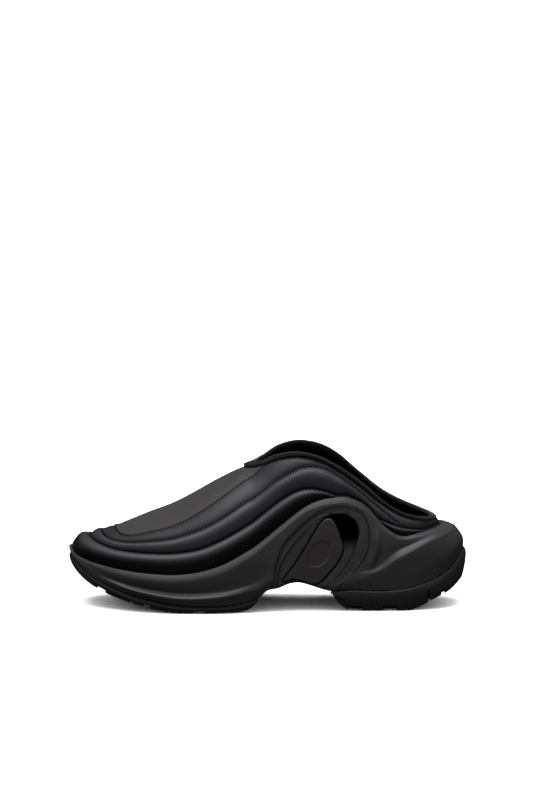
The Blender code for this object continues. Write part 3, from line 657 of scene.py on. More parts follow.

# %% [markdown]
# ## The upper
# It is one hollow shell. Three stitched seams run round it from the toe, each from its own nose on the
# spine, and between them the foam swells into bands. A band's height over the last follows the root of
# a sine, which gives steep shoulders at the seams and a flat crest. A narrow bell-shaped dip lets the
# thread sink in, and beside the two upper seams the swelling starts FLAT_MARGIN away, so that their
# stitches lie on flat leather. A mark of painted shade darkens the lower part of the lowest band, the
# third band, most at its front, the last band behind the throat and a line under the collar's band. A
# formula keeps every band true to its seams, which sculpting by hand wouldn't.

# %% Upper's rows
PAD_CROWNS = (0.0042, 0.0027, 0.0008, 0.0009)
PAD_LEANS = (1.6, 1.30, 0.85, 1.0)
PAD_SPAN = 0.014
SHOULDERS = (0.62, 0.72, 0.90, 0.90)
SEAM_DIPS = (0.0007, 0.00016, 0.00012)
SEAM_WIDTHS = (0.0010, 0.00065, 0.00060)
PUCKER_REACH = 0.0016
FLAT_MARGIN = 0.0028
BAND_ROWS = 18
UNDER_BINDING_SHADE_WIDTH = 0.0013
# Painted shade on the bands: how dark each part is made, and where it starts and fades.
LOW_BAND_SHADE, HIGH_BAND_SHADE, REAR_SHADE = 0.68, 0.34, 0.50
LOW_BAND_SHADE_END, LOW_BAND_SHADE_RUN = 0.40, 0.35
HIGH_BAND_SHADE_START, HIGH_BAND_SHADE_RUN, HIGH_BAND_SHADE_LOSS = 0.25, 0.22, 0.6
REAR_SHADE_START, REAR_SHADE_RUN = 0.52, 0.12
UNDER_BINDING_SHADE_RUN = 0.02
REAR_FALL = 0.4
SKIRT_DROPS = (1.0, 0.66, 0.33, 0.0)
FEATHER_ROW = len(SKIRT_DROPS)


def seam_rings():
    """Stations and turns of the seams. Behind the throat they stay in order under the edge."""
    rings = []
    below = feather_turn
    for count, rows in enumerate((SEAM_C, SEAM_B, SEAM_A)):
        nose = rows["station"][0]
        back = HEEL_BACK + (COLLAR_BACK - HEEL_BACK) * (count + 1) / 4.0
        station = ring_station(nose, back, (count + 1) / 3.0)
        free = read(rows, "turn", station, nose)
        highest = edge_turn - RING_STEP * (3 - count)
        turn = np.where(base_station > THROAT, np.clip(free, below + RING_STEP, highest), free)
        rings.append((station, turn))
        below = turn
    return rings


rings = [(feather_station, feather_turn)] + seam_rings() + [(top_station, edge_turn)]
last_rows = [loop(lambda side, drop=drop: last_point(feather_station, 0.0, side, drop))
             for drop in SKIRT_DROPS]
last_rows.append(loop(lambda side: last_point(*rings[0], side)))
crowns, dips, painted_shades, seam_marks, puckers = [
    [np.zeros(2 * STATIONS)] * len(last_rows) for _ in range(5)]
loop_station = both_sides(base_station)
shares = (1.0 - np.cos(np.pi * np.arange(1, BAND_ROWS + 1) / BAND_ROWS)) / 2.0
for band, (lower, upper) in enumerate(zip(rings, rings[1:])):
    last_band = band == len(rings) - 2
    bottom = loop(lambda side: last_point(*lower, side))
    top = loop(lambda side: last_point(*upper, side))
    width = np.linalg.norm(top - bottom, axis=1)
    for share in shares:
        station = lower[0] + (upper[0] - lower[0]) * share
        turn = lower[1] + (upper[1] - lower[1]) * share
        last_rows.append(loop(lambda side: last_point(station, turn, side)))
        profile = 0.0
        if last_band:
            profile = math.sin(math.pi * min(share, 0.5)) ** SHOULDERS[band]
            profile *= 1.0 - REAR_FALL * smooth(share * 2.0 - 1.0)
        elif share < 1.0:
            profile = math.sin(math.pi * share ** PAD_LEANS[band]) ** SHOULDERS[band]
        crown = PAD_CROWNS[band] * profile * smooth(width / PAD_SPAN)
        dip, mark, pucker = np.zeros(len(width)), np.zeros(len(width)), np.zeros(len(width))
        for seam, gap in ((band - 1, share * width), (band, (1.0 - share) * width)):
            if 0 <= seam < len(SEAM_DIPS):
                bell = np.exp(-(gap / SEAM_WIDTHS[seam]) ** 2)
                dip, mark = dip + SEAM_DIPS[seam] * bell, np.maximum(mark, bell)
                pucker = np.maximum(pucker, np.exp(-(gap / PUCKER_REACH) ** 2))
                crown = crown * (smooth(gap / FLAT_MARGIN) if seam else 1.0)
        crowns.append(crown)
        if last_band:
            # Painted shade: a dark line along the top edge, just under the collar's band, from the throat
            # back.
            under_binding_shade = np.exp(-((1.0 - share) * width / UNDER_BINDING_SHADE_WIDTH) ** 2)
            under_binding_shade = under_binding_shade * smooth((loop_station - THROAT) / UNDER_BINDING_SHADE_RUN)
            # Painted shade: the last band is darker behind the throat.
            rear = REAR_SHADE * smooth((loop_station - REAR_SHADE_START) / REAR_SHADE_RUN)
            painted_shades.append(np.maximum(rear, under_binding_shade))
        else:
            # Painted shade: the lowest band's lower part, and the third band, most at its front.
            low = (band == 0) * LOW_BAND_SHADE * (1.0 - smooth((share - LOW_BAND_SHADE_END) / LOW_BAND_SHADE_RUN))
            loss = HIGH_BAND_SHADE_LOSS * smooth((loop_station - HIGH_BAND_SHADE_START) / HIGH_BAND_SHADE_RUN)
            painted_shades.append(low + (band == 2) * HIGH_BAND_SHADE * (1.0 - loss))
        dips.append(dip)
        seam_marks.append(mark)
        puckers.append(pucker)
last_rows, crowns, dips = np.array(last_rows), np.array(crowns), np.array(dips)
seam_mark, near_seam = np.array(seam_marks), np.array(puckers)
last_normals = grid_normals(last_rows)
mirrored = -np.arange(2 * STATIONS) % (2 * STATIONS)
on_spine = np.minimum(np.arange(2 * STATIONS), mirrored) <= throat_index
spine_normals = last_normals[-1] + last_normals[-1][mirrored]
spine_normals = spine_normals / np.linalg.norm(spine_normals, axis=1, keepdims=True)
last_normals[-1] = np.where(on_spine[:, None], spine_normals, last_normals[-1])
outer_rows = last_rows + last_normals * (crowns - dips)[..., None]
inner_rows = last_rows - last_normals * UPPER_WALL
along_rows = np.array([lengths_along(row) for row in outer_rows])
along_rows = np.minimum(along_rows, along_rows[:, -1:] - along_rows)
seam_number = np.round((np.arange(len(outer_rows)) - FEATHER_ROW) / BAND_ROWS).clip(1, 3).astype(int)
stitch_way = along_rows[FEATHER_ROW + BAND_ROWS * seam_number, :-1]
print("upper", outer_rows.shape)

# %% Lining
lining = Finish("knitted lining", Roughness=0.95, Specular_IOR_Level=0.03)
along, over = lining.along_map()
loops = (along * 3400.0).math("SINE") * (over * 3400.0).math("SINE")
lining.shade(
    Base_Color=lining.blend(loops * 0.5 + 0.5, (0.0006, 0.0006, 0.0006), (0.0020, 0.0020, 0.0021)),
    Normal=lining.bump(loops, 0.00015))

heel_knit = Finish("heel knit", Roughness=0.9, Specular_IOR_Level=0.15)
weave = heel_knit.cells(1300.0)
heel_knit.shade(
    Base_Color=heel_knit.blend(weave, (0.0150, 0.0150, 0.0152), (0.0065, 0.0065, 0.0066)),
    Normal=heel_knit.bump(weave, 0.0002))

# %% Upper's shell
HEEL_PATCH = 0.884
PATCH_SLANT = 0.015


def map_of(rows, along, wrap=True):
    """A map in metres: the way along each row, and the way up from row to row."""
    up = np.concatenate([[0.0], np.cumsum(np.linalg.norm(np.diff(rows, axis=0), axis=2).mean(axis=1))])
    along = along if wrap else along[:, : rows.shape[1]]
    return np.stack([along, np.broadcast_to(up[:, None], along.shape)], axis=-1)


outer_count = len(outer_rows) - 1
look = np.zeros((outer_count, 2 * STATIONS), dtype=int)
look[FEATHER_ROW + 3 * BAND_ROWS:] = 1
patch_edge = HEEL_PATCH + PATCH_SLANT * np.linspace(1.0, 0.0, outer_count - FEATHER_ROW)
look[FEATHER_ROW:][loop_station > patch_edge[:, None]] = 3
inner_kept = sorted(set(range(0, len(inner_rows), 4)) | {len(inner_rows) - 1})
inner = inner_rows[inner_kept][::-1]
opening = slice(throat_index, 2 * STATIONS - throat_index + 1)
marks = {"seam": seam_mark, "near_seam": near_seam, "along": stitch_way, "painted_shade": np.array(painted_shades)}
shell = [
    Sheet(outer_rows, True, look.ravel(), map_of(outer_rows, along_rows), marks),
    Sheet(inner, True, 2, map_of(inner, along_rows[inner_kept][::-1])),
    Sheet(np.stack([outer_rows[-1], inner_rows[-1]])[:, opening], False, 2),
    Sheet(np.stack([inner_rows[0], outer_rows[0]]), True, 2),
]
upper_piece = make_piece(
    "upper_shell", shell, [leather.material, suede.material, lining.material, heel_knit.material],
    ["upper"])

# %% [markdown]
# ## The stitches
# Each seam is sewn with a black thread. A stitch is a short rounded rod that dips at both ends, where
# the needle went through. All stitches of a seam are one array: a small template is set along the seam
# by the seam's own direction and the leather's normal.

# %% Stitches
THREAD = 0.00056
STITCH_LENGTH = 0.60
STITCH_LIFT = 0.00030
THREAD_ARCH = 0.00015
ROD_RINGS, ROD_SIDES = 5, 6
ROD_WELD = 0.00001
SEWN_TO = (0.90, 0.83, 0.54)

thread = Finish("thread", Roughness=0.80, Specular_IOR_Level=0.06)
thread.shade(
    Base_Color=thread.blend(thread.noise(900.0), (0.0010, 0.0010, 0.0011), (0.0025, 0.0025, 0.0027)))


def stitch_row(row, normals, first, last):
    """Rods along a row of the shell between two lengths, as rings of points for every stitch."""
    way = np.concatenate([[0.0], np.cumsum(np.linalg.norm(np.diff(row, axis=0), axis=1))])
    starts = np.arange(max(first, STITCH), min(last, way[-1]) - STITCH, STITCH)
    share = np.linspace(-0.5, 0.5, ROD_RINGS)
    at = starts[:, None] + share * STITCH * STITCH_LENGTH
    spot = np.stack([np.interp(at, way, row[:, axis]) for axis in range(3)], axis=-1)
    lift = np.stack([np.interp(at, way, normals[:, axis]) for axis in range(3)], axis=-1)
    ahead = np.gradient(spot, axis=1)
    ahead /= np.linalg.norm(ahead, axis=-1, keepdims=True)
    out = np.cross(ahead, lift)
    out /= np.linalg.norm(out, axis=-1, keepdims=True)
    round_off = np.sqrt(np.clip(1.0 - (2.0 * share) ** 4, 0.0, 1.0))
    spot = spot + lift * (STITCH_LIFT + THREAD_ARCH * (1.0 - (2.0 * share) ** 2))[None, :, None]
    turn = np.arange(ROD_SIDES) * 2.0 * math.pi / ROD_SIDES
    radius = THREAD * round_off[None, :, None, None]
    return (spot[:, :, None] + radius * (out[:, :, None] * np.cos(turn)[:, None]
                                         + lift[:, :, None] * np.sin(turn)[:, None]))


threads = []
for band in range(3):
    row = FEATHER_ROW + (band + 1) * BAND_ROWS
    for side in (slice(0, STATIONS + 1), slice(None, STATIONS - 1, -1)):
        line, lift = outer_rows[row][side], last_normals[row][side]
        shown = loop_station[side] < SEWN_TO[band]
        threads.append(stitch_row(line[shown], lift[shown], 0.0, 1.0))
rods = np.concatenate(threads)
print("stitches", len(rods))
number = np.arange(rods.shape[0] * ROD_RINGS * ROD_SIDES).reshape(-1, ROD_RINGS, ROD_SIDES)
closed = np.concatenate([number, number[:, :, :1]], axis=2)
quads = np.stack(
    [closed[:, :-1, :-1], closed[:, :-1, 1:], closed[:, 1:, 1:], closed[:, 1:, :-1]], axis=-1)
stitch_mesh = bpy.data.meshes.new("stitches")
stitch_mesh.from_pydata((rods.reshape(-1, 3) + PLACE).tolist(), [], quads.reshape(-1, 4).tolist())
shape = bmesh.new()
shape.from_mesh(stitch_mesh)
bmesh.ops.remove_doubles(shape, verts=shape.verts, dist=ROD_WELD)
bmesh.ops.recalc_face_normals(shape, faces=shape.faces)
shape.to_mesh(stitch_mesh)
shape.free()
stitch_mesh.materials.append(thread.material)
stitch_mesh.shade_smooth()
stitches = bpy.data.objects.new("stitches", stitch_mesh)
bpy.context.scene.collection.objects.link(stitches)
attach(stitches, "root")

# %% [markdown]
# ## The collar's band
# A flat knitted tube is sewn over the raw edge of the foot opening. It is a rounded section carried
# along the opening: the superellipse |a|^n + |b|^n = 1 sits between a circle and a box, like a tube that
# is pressed flat. Its knit is two rows of small chevrons, drawn by the map that runs along it, and a
# painted highlight, a paler line, runs along its top fold. At the throat it comes forward a little, over
# the end of the vamp.

# %% Band
BINDING_HEIGHT = 0.0042
BINDING_THICKNESS = 0.0040
BINDING_SIDES = 28
BINDING_POWER = 3.0
KNIT = 0.0018
FOLD_HIGHLIGHT_WAY, FOLD_HIGHLIGHT_WIDTH = 0.0023, 0.0011
NOSE_LIFT, NOSE_FORWARD = 0.0022, 0.0015
NOSE_END, NOSE_RUN = 0.500, 0.055
BAND = table("station near far", [
    (0.447, 0.0002, 0.0044), (0.465, 0.0008, 0.0044), (0.500, 0.0014, 0.0040), (0.533, 0.0005, 0.0030),
    (0.583, -0.0006, 0.0018), (0.640, -0.0010, 0.0016), (0.675, -0.0010, 0.0006),
    (0.710, -0.0008, -0.0014), (0.750, -0.0008, -0.0022), (0.800, -0.0014, -0.0014),
    (0.834, -0.0012, 0.0002), (0.870, -0.0006, 0.0010), (0.926, 0.0000, 0.0000),
])

knit = Finish("collar knit", Specular_IOR_Level=0.14, Roughness=0.85, Sheen_Weight=0.05,
              Sheen_Roughness=0.6)
along, over = knit.along_map()
lean = ((over / (2.0 * KNIT)).math("FRACT") * 2.0 - 1.0).math("ABSOLUTE")
chevron = ((along / KNIT + lean * 0.8) * (2.0 * math.pi)).math("SINE") * 0.5 + 0.5
# A painted highlight: a paler line along the band's top fold.
fold_highlight = (1.0 - ((over - FOLD_HIGHLIGHT_WAY) / FOLD_HIGHLIGHT_WIDTH).math("ABSOLUTE")).math("MAXIMUM", 0.0)
base = knit.blend(chevron, (0.0008, 0.0008, 0.0008), (0.0085, 0.0084, 0.0086))
knit.shade(
    Base_Color=knit.blend(fold_highlight, base, (0.1150, 0.1110, 0.1130)),
    Normal=knit.bump(chevron * 0.7 + lean * 0.3, 0.00035))

opening = slice(throat_index, 2 * STATIONS - throat_index)
middle = ((outer_rows[-1] + inner_rows[-1]) / 2.0)[opening]
normal = last_normals[-1][opening]
ahead = np.roll(middle, -1, axis=0) - np.roll(middle, 1, axis=0)
rise = np.cross(normal, ahead)
rise = rise / np.linalg.norm(rise, axis=1, keepdims=True)
angle = np.arange(BINDING_SIDES) * 2.0 * math.pi / BINDING_SIDES
power = 2.0 / BINDING_POWER
section_out, section_up = [
    np.sign(wave) * np.abs(wave) ** power * size / 2.0
    for wave, size in ((np.cos(angle), BINDING_THICKNESS), (np.sin(angle), BINDING_HEIGHT))]
section_up = section_up + BINDING_HEIGHT / 2.0
more = loop(lambda side: read(BAND, "near" if side < 0.0 else "far", top_station))[opening]
stretch = 1.0 + more / BINDING_HEIGHT
nose = smooth((NOSE_END - both_sides(top_station)[opening]) / NOSE_RUN)
tube = middle[None] + normal[None] * (section_out[:, None] + NOSE_LIFT * nose)[..., None]
tube = tube + rise[None] * (section_up[:, None] * stretch + GAP - NOSE_FORWARD * nose)[..., None]
tube = np.concatenate([tube, tube[:1]])
way = np.broadcast_to(lengths_along(middle), (len(tube), len(middle) + 1))
steps = [np.diff(np.append(line, line[0])) for line in (section_out, section_up)]
girth_way = np.concatenate([[0.0], np.cumsum(np.hypot(*steps))])
tube_map = np.stack([way, np.broadcast_to(girth_way[:, None], way.shape)], axis=-1)
binding = make_piece(
    "collar_band", [Sheet(tube, True, 0, tube_map)], [knit.material], ["collar_binding"])

# %% [markdown]
# ## The insole
# A thin foam footbed under a knitted cover lies in the cup. Only a strip of it shows through the
# opening, so it stays simple: the footbed's outline, a rim, and a top that is lower in its middle.

# %% Insole
INSOLE_THICKNESS = 0.004
INSOLE_MARGIN = 0.0006
INSOLE_TOE_MARGIN, INSOLE_TOE_RUN = 0.0055, 0.10
INSOLE_STEPS = 24
DISH = 0.0012

cover = Finish("insole cover", Roughness=0.92, Specular_IOR_Level=0.15)
dots = cover.cells(620.0)
cover.shade(
    Base_Color=cover.blend(dots, (0.006, 0.006, 0.006), (0.012, 0.012, 0.0125)),
    Normal=cover.bump(dots, 0.0003))
foot = inner_rows[0]
normal = plan_normals(foot)
station = foot[:, :1] / LENGTH + 0.5
toe_share = 1.0 - smooth((station - TOE_TIP) / INSOLE_TOE_RUN)
low = foot - normal * (INSOLE_MARGIN + INSOLE_TOE_MARGIN * toe_share)
low[:, 2] = read(LAST, "footbed", low[:, 0] / LENGTH + 0.5, TOE_TIP) * INSTEP_HEIGHT
high = low - normal * INSOLE_MARGIN
high[:, 2] = low[:, 2] + INSOLE_THICKNESS
top_sheet = across(high, INSOLE_STEPS)
share = np.linspace(-1.0, 1.0, INSOLE_STEPS + 1)[None, :]
top_sheet[..., 2] -= DISH * (1.0 - share**4)
insole_piece = make_piece(
    "footbed", [Sheet(np.stack([low, high]), True), Sheet(top_sheet), Sheet(across(low, 1))],
    [cover.material], ["insole"], sharp=50.0)

# %% [markdown]
# ## The midsole
# The cup is moulded foam. From the foot up, its side swells to a ridge, drops into a groove, swells to a
# lip and ends at the leather. In front and at the heel the groove's lower side is a narrow ledge that
# faces up and catches the light. The four lines come from a table, and a smooth curve joins them.
# Over the arch, two closed outlines set how far the wall is let in, once for a ledge and deeper for the
# window, with a soft step whose width is that of a moulded corner. Dark lines of painted shade are drawn
# at set distances from those outlines and round the plate, and along the foot where the foam meets the
# treads. A hole opens in the window's rear half and its inside is painted black as its shade, and the
# foam swells behind the ledge.

# %% Foam
HOLE_EDGE = 0.0005
CORNER_SHADE = 0.80
BEAD = 0.0010

foam = Finish("moulded foam", Specular_IOR_Level=0.29, Specular_Tint=(0.98, 0.96, 1.0, 1.0))
pebble = foam.cells(2100.0)
fine = foam.noise(3800.0, 3.0)
patch = foam.noise(30.0, 2.0)


def drawn_line(distance, at, width):
    """1 on a line at a distance from an outline, falling to 0 half its width away."""
    return (1.0 - ((distance - at) / (width / 2.0)).math("ABSOLUTE")).math("MAXIMUM", 0.0)


ledge, window, plate_gap = foam.mark("ledge"), foam.mark("window"), foam.mark("plate")
# Painted shade: the hole's inside is painted black.
hole = (window / HOLE_EDGE + 0.5).math("MAXIMUM", 0.0).math("MINIMUM", 1.0) * foam.mark("hole")
# Painted shade: dark lines along the ledge, the window and the plate's gap, and along the foot where the
# foam meets the treads.
dark = drawn_line(ledge, -0.0002, 0.0012) * CORNER_SHADE
dark = dark.math("MAXIMUM", drawn_line(window, 0.0, 0.0012) * CORNER_SHADE)
dark = dark.math("MAXIMUM", drawn_line(plate_gap, -0.0004, 0.0024))
dark = dark.math("MAXIMUM", drawn_line(foam.mark("foot"), 0.0, 0.0026))
bead = drawn_line(ledge, 0.0006, BEAD) + drawn_line(window, 0.0008, BEAD)
bead = bead + drawn_line(window, -0.0008, BEAD)
base = foam.blend(patch, (0.0285, 0.0280, 0.0296), (0.0370, 0.0364, 0.0382))
shade = dark.math("MAXIMUM", hole)
foam.shade(
    Base_Color=foam.blend(shade, base, BLACK),
    Metallic=shade,
    Roughness=0.44 + patch * 0.08,
    Normal=foam.bump(pebble * 0.4 + fine * 0.6, 0.00006, foam.bump(bead, 0.00035)))

# %% Side of the midsole
SIDE_ROWS = 84
LEDGE_FOLD = 0.30
SIDE_BULGES = (0.42, 0.60, 0.28)
FRONT_CRISP = 0.35
feather_loop = both_sides(feather_station)
feather_plan = loop(lambda side: last_point(feather_station, 0.0, side))
feather_edge = last_rows[FEATHER_ROW]
plan_out = plan_normals(feather_plan)
crisp = both_sides(FRONT_CRISP * between(base_station, 0.09, 0.09, 0.50, 0.08)
                   + between(base_station, 0.72, 0.05, 0.905, 0.05))


def side_value(column):
    """A column of the side's table, round the whole loop."""
    return both_sides(read(SIDE, column, feather_station, TOE_TIP))


foot_out = side_value("foot_out")
foot_plan = feather_plan + plan_out * foot_out[:, None] * SIDE_DEPTH
foot_low = read(FOAM, "underside", foot_plan[:, 0] / LENGTH + 0.5) * INSTEP_HEIGHT


def side_ring(rise, out):
    """A loop of the side: part of the way up its wall, standing out from the last."""
    height = foot_low + (feather_edge[:, 2] - foot_low) * rise
    near = height[: STATIONS + 1] / INSTEP_HEIGHT
    far = np.append(height[0], height[: STATIONS - 1: -1]) / INSTEP_HEIGHT
    turns = {side: np.minimum(turn_at_height(feather_station, share), feather_turn)
             for side, share in ((-1.0, near), (1.0, far))}
    ring = loop(lambda side: last_point(feather_station, turns[side], side))
    ring = ring + plan_out * out[:, None] * SIDE_DEPTH
    ring[:, 2] = height
    return ring


ridge_rise = side_value("ridge_rise")
groove_rise = ridge_rise + (side_value("groove_rise") - ridge_rise) * (1.0 - LEDGE_FOLD * crisp)
rises = [np.zeros(2 * STATIONS), ridge_rise, groove_rise, side_value("lip_rise"), np.ones(2 * STATIONS)]
outs = [foot_out] + [side_value(name) for name in ("ridge_out", "groove_out", "lip_out", "edge_out")]
knot_rises, knot_outs = [rises[0], rises[1] / 2.0, rises[1]], [outs[0], side_value("wall_out"), outs[1]]
for count, bulge in enumerate(SIDE_BULGES, 1):
    knot_rises += [(rises[count] + rises[count + 1]) / 2.0, rises[count + 1]]
    knot_outs += [outs[count] + (outs[count + 1] - outs[count]) * bulge, outs[count + 1]]
knots = np.arange(len(knot_rises), dtype=float)
at = np.linspace(0.0, knots[-1], SIDE_ROWS + 1)
row_rises = hermite(knots, np.array(knot_rises), at)
row_outs = hermite(knots, np.array(knot_outs), at)
side_rows = np.array([side_ring(rise, out) for rise, out in zip(row_rises, row_outs)])
print("side", side_rows.shape)

# %% Window over the arch
LEDGE_LEFT = 0.0044
STRIP_LEFT = 0.0040
WINDOW_LEFT = 0.0016
STEP_WIDTH = 0.0010
PLATE_MARGIN = 0.0004
HOLE_FRONT, HOLE_FOOT = 0.650, 0.350
SWELL_HEIGHT, SWELL_AWAY, SWELL_WIDTH = 0.0022, 0.0062, 0.0026
MARK_REACH = 0.004
OUTLINE_POINTS = 180


def closed_outline(rows, count=OUTLINE_POINTS):
    """A smooth closed outline through the rows: stations and heights, as shares."""
    total = len(rows["station"])
    keys = np.arange(-2.0, total + 3.0)
    pick = np.arange(-2, total + 3) % total
    at = np.arange(count) * total / count
    return np.stack([hermite(keys, rows[column][pick], at) for column in ("station", "height")], axis=-1)


def depth_inside(points, outline):
    """Signed distance of side-view points from a closed outline, positive inside, in metres."""
    a = outline * (LENGTH, INSTEP_HEIGHT)
    b = np.roll(a, -1, axis=0)
    offset = points[:, None] - a
    edge = b - a
    share = np.clip((offset * edge).sum(-1) / (edge**2).sum(-1), 0.0, 1.0)
    distance = np.linalg.norm(offset - share[..., None] * edge, axis=-1).min(axis=1)
    above = (a[:, 1] > points[:, None, 1]) != (b[:, 1] > points[:, None, 1])
    climb = np.where(edge[:, 1] == 0.0, 1e-12, edge[:, 1])
    cross_x = a[:, 0] + (points[:, None, 1] - a[:, 1]) * edge[:, 0] / climb
    inside = (above & (points[:, None, 0] < cross_x)).sum(axis=1) % 2 == 1
    return np.where(inside, distance, -distance)


def wall_y(station, height, side):
    """Where the last's wall is at a station and a height, both shares, on one side."""
    half = read(LAST, "half_width", station, TOE_TIP)
    girth = read(LAST, "girth", station, TOE_TIP)
    share = np.clip((height - girth) / section_top(station), 0.0, 1.0) ** (1.0 / BOX)
    half = half * np.sqrt(1.0 - share**2) ** BOX
    return (read(LAST, "swing", station, TOE_TIP) + side * half) * BALL_WIDTH


flat = side_rows.reshape(-1, 3)
place_share = np.stack([flat[:, 0] / LENGTH + 0.5, flat[:, 2] / INSTEP_HEIGHT], axis=-1)
near_arch = (place_share[:, 0] > 0.49) & (place_share[:, 0] < 0.82)
arch = flat[near_arch]
arch_share = place_share[near_arch]
arch_column = np.flatnonzero(near_arch) % (2 * STATIONS)
arch_side = np.where(arch_column <= STATIONS, -1.0, 1.0)
side_view = arch_share * (LENGTH, INSTEP_HEIGHT)
ledge_depth = depth_inside(side_view, closed_outline(LEDGE_OUTLINE))
window_depth = depth_inside(side_view, closed_outline(WINDOW_OUTLINE))
wall = wall_y(arch_share[:, 0], arch_share[:, 1], arch_side)
over_wall = (arch[:, 1] - wall) * arch_side
plate_depth = depth_inside(side_view, closed_outline(PLATE_OUTLINE))
hole = smooth((arch_share[:, 0] - HOLE_FRONT) / 0.012) * smooth((arch_share[:, 1] - HOLE_FOOT) / 0.13)
window_left = STRIP_LEFT + (WINDOW_LEFT - STRIP_LEFT) * hole
for depth, left in ((ledge_depth, LEDGE_LEFT), (window_depth, window_left),
                    (plate_depth + PLATE_MARGIN, WINDOW_LEFT)):
    over_wall = over_wall + (np.minimum(over_wall, left) - over_wall) * smooth(depth / STEP_WIDTH + 0.5)
swell = np.exp(-((ledge_depth + SWELL_AWAY) / SWELL_WIDTH) ** 2) * smooth((arch_share[:, 0] - 0.74) / 0.03)
swell = swell * between(arch_share[:, 1], 0.20, 0.15, 0.56, 0.12)
arch[:, 1] = wall + (over_wall + SWELL_HEIGHT * swell) * arch_side
flat[near_arch] = arch
arch_marks = {}
for name, found, away in (("ledge", ledge_depth, -MARK_REACH), ("window", window_depth, -MARK_REACH),
                          ("plate", plate_depth, -MARK_REACH), ("hole", hole, 0.0)):
    mark = np.full(len(flat), away)
    mark[near_arch] = np.clip(found, -MARK_REACH, None)
    arch_marks[name] = mark.reshape(side_rows.shape[:2])
foot_gap = side_rows[..., 2] - foot_low + MARK_REACH * ((feather_loop > 0.475) & (feather_loop < 0.664))
arch_marks["foot"] = np.minimum(foot_gap, MARK_REACH)
side_rows = flat.reshape(side_rows.shape)
print("arch points", int(near_arch.sum()))

# %% Midsole's cup
LIP_ROWS = 6
LIP_ROUND, LIP_SWELL = 0.0003, 0.12
cup = last_rows[[FEATHER_ROW, 3, 2, 1, 0]] + last_normals[[FEATHER_ROW, 3, 2, 1, 0]] * GAP
cup[-1, :, 2] -= GAP
share = np.linspace(0.0, 1.0, LIP_ROWS + 1)[:, None, None]
lip = side_rows[-1] * (1.0 - share) + cup[0] * share
lip_width = np.linalg.norm(side_rows[-1] - cup[0], axis=1)
lip[..., 2] += (LIP_ROUND + LIP_SWELL * lip_width) * np.sin(np.pi * share[..., 0])
away = {"ledge": -MARK_REACH, "window": -MARK_REACH, "plate": -MARK_REACH, "hole": 0.0,
        "foot": MARK_REACH}
sheets = [Sheet(side_rows, True, marks=arch_marks), Sheet(lip, True, marks=away),
          Sheet(cup, True, marks=away), Sheet(across(cup[-1], 2), marks=away),
          Sheet(across(side_rows[0], 16), marks=away)]
make_piece("midsole_cup", sheets, [foam.material], ["midsole"], sharp=55.0)

# %% [markdown]
# ## The arch plates
# A stiff plate sits in each window. Its outline is drawn from the side, and its face follows the wall
# a few millimetres out, with a rounded rim. The middle carries a plain shallow oval.

# %% Plates
PLATE_THICKNESS = 0.0028
PLATE_ROUND = 0.0010
OVAL = (0.630, 0.372, 0.0075, 0.0105)
OVAL_LEAN = (0.83, 0.56)
OVAL_DEPTH, OVAL_EDGE = 0.0005, 9.0
FACE_RINGS = 40

plate_finish = Finish("arch plate", Specular_IOR_Level=0.35)
speck = plate_finish.noise(3000.0, 3.0)
plate_finish.shade(
    Base_Color=plate_finish.blend(
        plate_finish.noise(60.0), (0.0235, 0.0205, 0.0222), (0.0300, 0.0265, 0.0285)),
    Roughness=0.50 + speck * 0.08,
    Normal=plate_finish.bump(speck, 0.00004))


def make_plate(name, side, node):
    """A plate over the window: rings shrink to the outline's middle, and the first few make the rim."""
    outline = closed_outline(PLATE_OUTLINE)
    centre = outline.mean(axis=0)
    near = WINDOW_LEFT + GAP
    far = near + PLATE_THICKNESS
    rim = [(1.0, near), (1.0, far - PLATE_ROUND), (0.985, far - 0.3 * PLATE_ROUND), (0.960, far)]
    face = [(share, far) for share in np.linspace(0.94, 0.0, FACE_RINGS)]
    back = [(share, near) for share in (0.0, 0.5, 1.0)]
    rows = []
    for share, over in back + rim + face:
        spot = centre + (outline - centre) * share
        x, z = spot[:, 0], spot[:, 1]
        offset = (spot - OVAL[:2]) * (LENGTH, INSTEP_HEIGHT)
        aside = (offset[:, 0] * OVAL_LEAN[0] - offset[:, 1] * OVAL_LEAN[1]) / OVAL[2]
        along_it = (offset[:, 0] * OVAL_LEAN[1] + offset[:, 1] * OVAL_LEAN[0]) / OVAL[3]
        inside = smooth((1.0 - np.hypot(aside, along_it)) * OVAL_EDGE + 0.5)
        y = wall_y(x, z, side) + side * (over - OVAL_DEPTH * inside * (over >= far))
        rows.append(np.stack([(x - 0.5) * LENGTH, y, z * INSTEP_HEIGHT], axis=-1))
    sheets = [Sheet(np.array(rows), True)]
    return make_piece(name, sheets, [plate_finish.material], [node], sharp=50.0)


make_plate("plate_lateral", -1.0, "arch_plate_lateral")
make_plate("plate_medial", 1.0, "arch_plate_medial")

# %% [markdown]
# ## The treads
# Two rubber soles close the foam from below. A tread is a row of sections along the shoe: its top follows
# the foam, its sides slant in, and its underside follows the ground line. Grooves part it into lugs. A
# groove is a stretch of sections with a higher underside, and each of its edges gets two sections almost
# in one place, which keeps it sharp. It is deep only near both sides of the sole, where it shows as a
# notch, and INNER_CUT deep between them. The mark named groove paints each groove's underside black, as
# painted shade for the notch's dark inside. The mark named groove makes its underside black.

# %% Rubber
rubber = Finish("tread rubber", Specular_IOR_Level=0.30)
fine = rubber.noise(2600.0, 3.0)
patch = rubber.noise(40.0, 2.0)
base = rubber.blend(patch, (0.0150, 0.0146, 0.0152), (0.0205, 0.0200, 0.0208))
rubber.shade(
    # Painted shade: black and without sheen where the groove mark is.
    Base_Color=rubber.blend(rubber.mark("groove"), base, BLACK),
    Metallic=rubber.mark("groove"),
    Roughness=0.58 + fine * 0.10,
    Normal=rubber.bump(fine, 0.00008))

